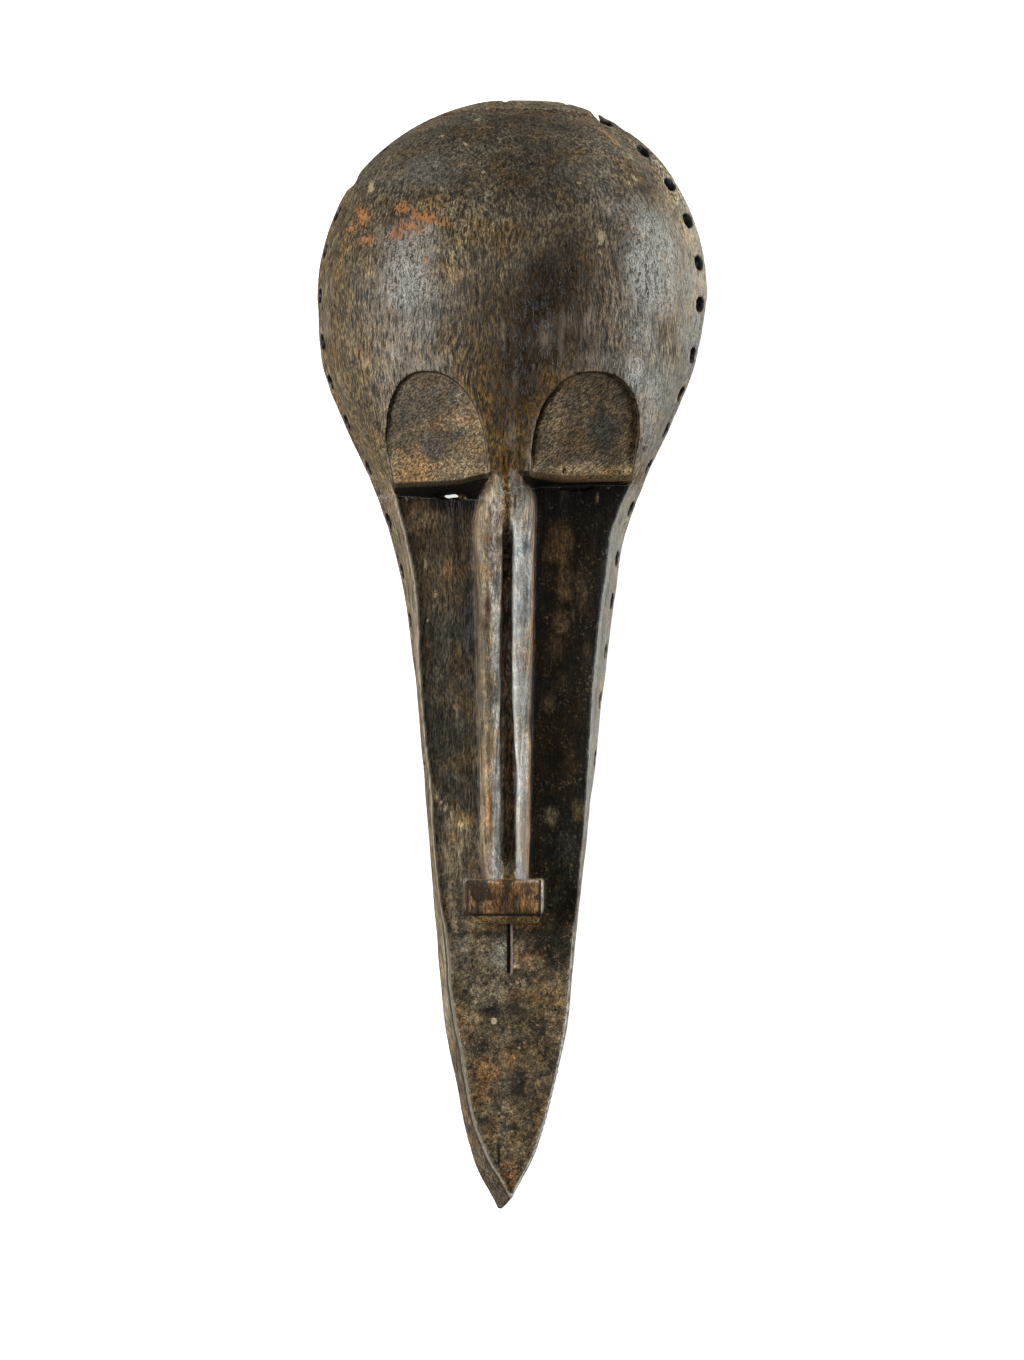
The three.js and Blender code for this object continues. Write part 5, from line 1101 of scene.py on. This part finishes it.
# painted highlight laid on as a pale broken net over the fibres
web2 = cloud(vec('MULTIPLY', vec('ADD', bent, (40, 9, 5)), (1.0, 0.6, 1.0)), 0.22, 3, 0.6)
threads = math_('MAXIMUM', ramp(math_('ABSOLUTE', math_('SUBTRACT', web, 0.5)), 0.040, 0.006),
                ramp(math_('ABSOLUTE', math_('SUBTRACT', web2, 0.5)), 0.030, 0.004))
threads = times(threads, ramp(dust, 0.38, 0.54, 0.15, 1.0))
highlight_streaks = ramp(plus(strokes, times(math_('SUBTRACT', hairs, 0.5), 0.9), times(highlight_net_s, 0.07)), 0.52, 0.66)
painted_highlight_net = math_('MAXIMUM', times(threads, ramp(highlight_net_s, 0.05, 0.75)), times(highlight_streaks, ramp(highlight_net_s, 0.0, 1.0, 0.0, 0.62)))
color = blend(painted_highlight_net, color, (0.480, 0.485, 0.460))
# rubbed edges
rub = times(wear_s, ramp(plus(strokes, times(mottle, 0.6)), 0.62, 0.86))
color = blend(times(rub, 0.75), color, (0.30, 0.235, 0.165))
# rusty stains and pale flecks
rust = times(ramp(plus(times(stain_s, 0.30), times(hairs, 0.6), times(crust, 0.3), times(dust, 0.45)), 0.80, 0.92), ramp(stain_s, 0.0, 0.15))
color = blend(times(rust, 0.9), color, blend(dark, (0.36, 0.150, 0.045), (0.10, 0.045, 0.018)))
pale = times(ramp(plus(fleck_s, times(math_('SUBTRACT', specks, 0.5), 1.2), times(math_('SUBTRACT', dust, 0.5), 0.8)), 0.30, 0.46), ramp(fleck_s, 0.02, 0.2))
color = blend(times(pale, ramp(hairs, 0.35, 0.55, 0.45, 0.9)), color, (0.40, 0.31, 0.185))
# one bright fleck on the chin
spot = times(ramp(here[0], -12.3, -11.0), ramp(here[0], -8.2, -9.5), ramp(here[1], -203.6, -202.2), ramp(here[1], -198.9, -200.3))
pit = times(ramp(here[0], -11.1, -10.5), ramp(here[0], -9.4, -10.0), ramp(here[1], -202.2, -201.6), ramp(here[1], -200.4, -201.0))
spot = times(ramp(plus(spot, times(math_('SUBTRACT', specks, 0.5), 2.0), times(math_('SUBTRACT', dust, 0.5), 1.6)), 0.30, 0.55), ramp(spot, 0.02, 0.15), math_('SUBTRACT', 1.0, times(pit, 0.7)))
color = blend(times(spot, ramp(hairs, 0.35, 0.55, 0.7, 0.95)), color, (0.72, 0.62, 0.38))
# under the brow: a brown fringe below the pads' edge, then painted shade
fringe = ramp(brow_s, 0.475, 0.445)
right_half = ramp(here[0], 8.0, 14.0)
color = blend(fringe, color, blend(1.0, blend(right_half, (0.040, 0.028, 0.014), (0.165, 0.105, 0.050)), grey(times(ramp(hairs, 0.34, 0.66, 0.5, 1.5), ramp(dust, 0.34, 0.66, 0.6, 1.4))), 'MULTIPLY'))
color = blend(ramp(plus(brow_s, times(right_half, 0.09)), 0.17, 0.12), color, (0.005, 0.004, 0.003))
# the pads' outline: a thin dark line of painted shade along its step, and a painted highlight on its inner lip
pad_step_shade = times(ramp(line_s, 0.485, 0.50), ramp(line_s, 0.56, 0.535))
color = blend(times(pad_step_shade, ramp(dust, 0.3, 0.5, 0.55, 0.95), ramp(brow_s, 0.47, 0.5)), color, (0.012, 0.009, 0.006))
pad_lip_highlight = times(ramp(line_s, 0.40, 0.45), ramp(line_s, 0.50, 0.485), ramp(here[1], 95.0, 97.0))
color = blend(times(pad_lip_highlight, ramp(dust, 0.4, 0.55), 0.45), color, (0.26, 0.19, 0.115))
# the mouth block: dark seams round its front, darker patches on its upper left; its pale right bevel is a painted
# highlight laid in the tone above
front = times(ramp(here[2], 56.5, 57.5), ramp(here[0], -27.4, -26.4), ramp(here[0], 18.4, 17.4), ramp(here[1], -148.0, -147.0), ramp(here[1], -122.0, -122.6))
block_dark_noise = cloud(vec('MULTIPLY', vec('ADD', where, (2, 5, 8)), (1.0, 0.6, 1.0)), 0.16, 5, 0.7)
corner = times(ramp(here[0], -8.0, -14.0), ramp(here[1], -136.0, -131.0))
middle = times(ramp(here[0], -7.0, -4.5), ramp(here[0], 3.5, 0.5), ramp(here[1], -140.0, -130.0))
block_dark = ramp(plus(block_dark_noise, times(corner, 0.17), times(middle, 0.13), times(math_('SUBTRACT', strokes, 0.5), 0.2)), 0.57, 0.64)
color = blend(times(front, block_dark, 0.85), color, (0.014, 0.010, 0.007))
seam = math_('MAXIMUM', times(ramp(here[0], -23.7, -24.4), ramp(here[0], -25.9, -25.1)), times(ramp(here[1], -140.6, -141.1), ramp(here[1], -142.3, -141.8)))
seam = math_('MAXIMUM', seam, times(ramp(here[0], 14.0, 14.6), ramp(here[0], 15.9, 15.3)))
color = blend(times(front, seam, ramp(dust, 0.3, 0.5, 0.6, 0.95)), color, (0.010, 0.007, 0.005))
# a pale line along the border's top, a painted highlight on its arris; a dark one outside it on the chin
_, lip_l, lip_r, chin_s = attr("lines")
for d, shade in ((lip_l, (0.33, 0.28, 0.21)), (lip_r, (0.40, 0.40, 0.37))):
    line = times(ramp(d, 0.5, 0.54), ramp(d, 0.70, 0.65), ramp(hairs, 0.3, 0.5, 0.45, 0.95))
    color = blend(line, color, shade)
seam_l = times(ramp(lip_l, 0.33, 0.39), ramp(lip_l, 0.52, 0.48), chin_s, ramp(strokes, 0.35, 0.5, 0.4, 0.9))
color = blend(seam_l, color, (0.030, 0.021, 0.015))
# the knife slot under the mouth: black as painted shade in its depth, its right side paler
slot = times(ramp(here[1], -175.6, -174.2), ramp(here[1], -145.5, -147.0), ramp(here[2], 46.5, 45.5))
color = blend(times(slot, ramp(here[0], -3.4, -3.0), ramp(here[0], -1.1, -1.5)), color, (0.006, 0.004, 0.003))
color = blend(times(slot, ramp(here[0], -1.5, -1.1), ramp(here[0], 0.2, -0.2), ramp(dust, 0.3, 0.5, 0.4, 0.9)), color, (0.330, 0.240, 0.190))
# painted shade in corners and cuts
color = blend(times(hollow_shade_s, ramp(crust, 0.62, 0.42, 0.55, 1.0)), color, (0.010, 0.007, 0.005))

gloss = plus(ramp(mottle, 0.3, 0.7, 0.50, 0.38), times(dark, 0.12), times(highlight_net_s, -0.06), ramp(dust, 0.3, 0.7, -0.05, 0.07))
gloss = math_('ADD', gloss, plus(times(plus(pad_s, scab_s, inner_s), 0.10), times(swept_shade, -0.12)), clamp=True)

height = plus(times(plus(strokes, times(hairs, 0.45), times(dark, -0.3)), not_smooth), times(web, 0.5, highlight_net_s))
height = plus(height, times(plus(times(hatch, 0.42), times(dust, 0.2)), smooth_s), times(dust, 0.15), times(crust, scab_s, 0.8))
bump = node("ShaderNodeBump", None, Strength=1.0, Distance=0.00045, Height=height)

tree.links.new(color, bsdf.inputs["Base Color"])
tree.links.new(gloss, bsdf.inputs["Roughness"])
tree.links.new(bump.outputs[0], bsdf.inputs["Normal"])
bsdf.inputs["IOR"].default_value = 1.5
bsdf.inputs["Specular IOR Level"].default_value = 0.23
mesh.materials.clear()
mesh.materials.append(wood)


# ------------------------------------------------------------------ floor, light, camera
def area(name, from_top, round_z, power, size, size_y, color=(1, 1, 1)):
    """a soft box 1.5 m off: degrees from straight above, and round the vertical from +X"""
    light = bpy.data.lights.new(name, 'AREA')
    light.shape = 'RECTANGLE'
    light.size, light.size_y = size, size_y
    light.energy, light.color = power, color
    ob = bpy.data.objects.new(name, light)
    bpy.context.scene.collection.objects.link(ob)
    e, a = math.radians(from_top), math.radians(round_z)
    d = Vector((math.sin(e) * math.cos(a), math.sin(e) * math.sin(a), math.cos(e)))
    ob.location = Vector((0, 0.08, 0.04)) + d * 1.5
    ob.rotation_euler = (-d).to_track_quat('-Z', 'Y').to_euler()
    return ob


floor_mesh = bpy.data.meshes.new("floor")
S = 5.0
floor_mesh.from_pydata([(-S, -S, 0), (S, -S, 0), (S, S, 0), (-S, S, 0)], [], [(0, 1, 2, 3)])
floor = bpy.data.objects.new("floor", floor_mesh)
floor.location = (0, 0, -0.0005)
bpy.context.scene.collection.objects.link(floor)
fm = bpy.data.materials.new("pale_floor")
fm.use_nodes = True
fb = fm.node_tree.nodes["Principled BSDF"]
fb.inputs["Base Color"].default_value = (0.9, 0.9, 0.9, 1)
fb.inputs["Roughness"].default_value = 0.9
fb.inputs["Emission Color"].default_value = (1, 1, 1, 1)
fb.inputs["Emission Strength"].default_value = 0.8
floor_mesh.materials.append(fm)
floor.visible_glossy = False
floor.visible_diffuse = False

area("key_left", 68, 178, 29.4, 0.55, 0.85)
area("edge_right", 86, 0, 26.0, 0.55, 0.6, (0.95, 0.98, 1.0))
area("edge_upper_right", 86, 45, 6.4, 0.55, 0.55)
above = area("above_crown", 60, 90, 8.6, 0.55, 0.55)
above.visible_glossy = False

world = bpy.data.worlds.new("studio")
world.use_nodes = True
world.node_tree.nodes["Background"].inputs[0].default_value = (1, 1, 1, 1)
world.node_tree.nodes["Background"].inputs[1].default_value = 0.16
bpy.context.scene.world = world

cam = bpy.data.cameras.new("view")
cam.sensor_fit = 'VERTICAL'
cam.sensor_height = 36.0
cam.lens = 36.0 * 2200.0 / 761.6
cam_ob = bpy.data.objects.new("view", cam)
cam_ob.location = (-0.00028, -0.01344, 2.2)
bpy.context.scene.collection.objects.link(cam_ob)
bpy.context.scene.camera = cam_ob
bpy.context.scene.view_settings.view_transform = 'Standard'
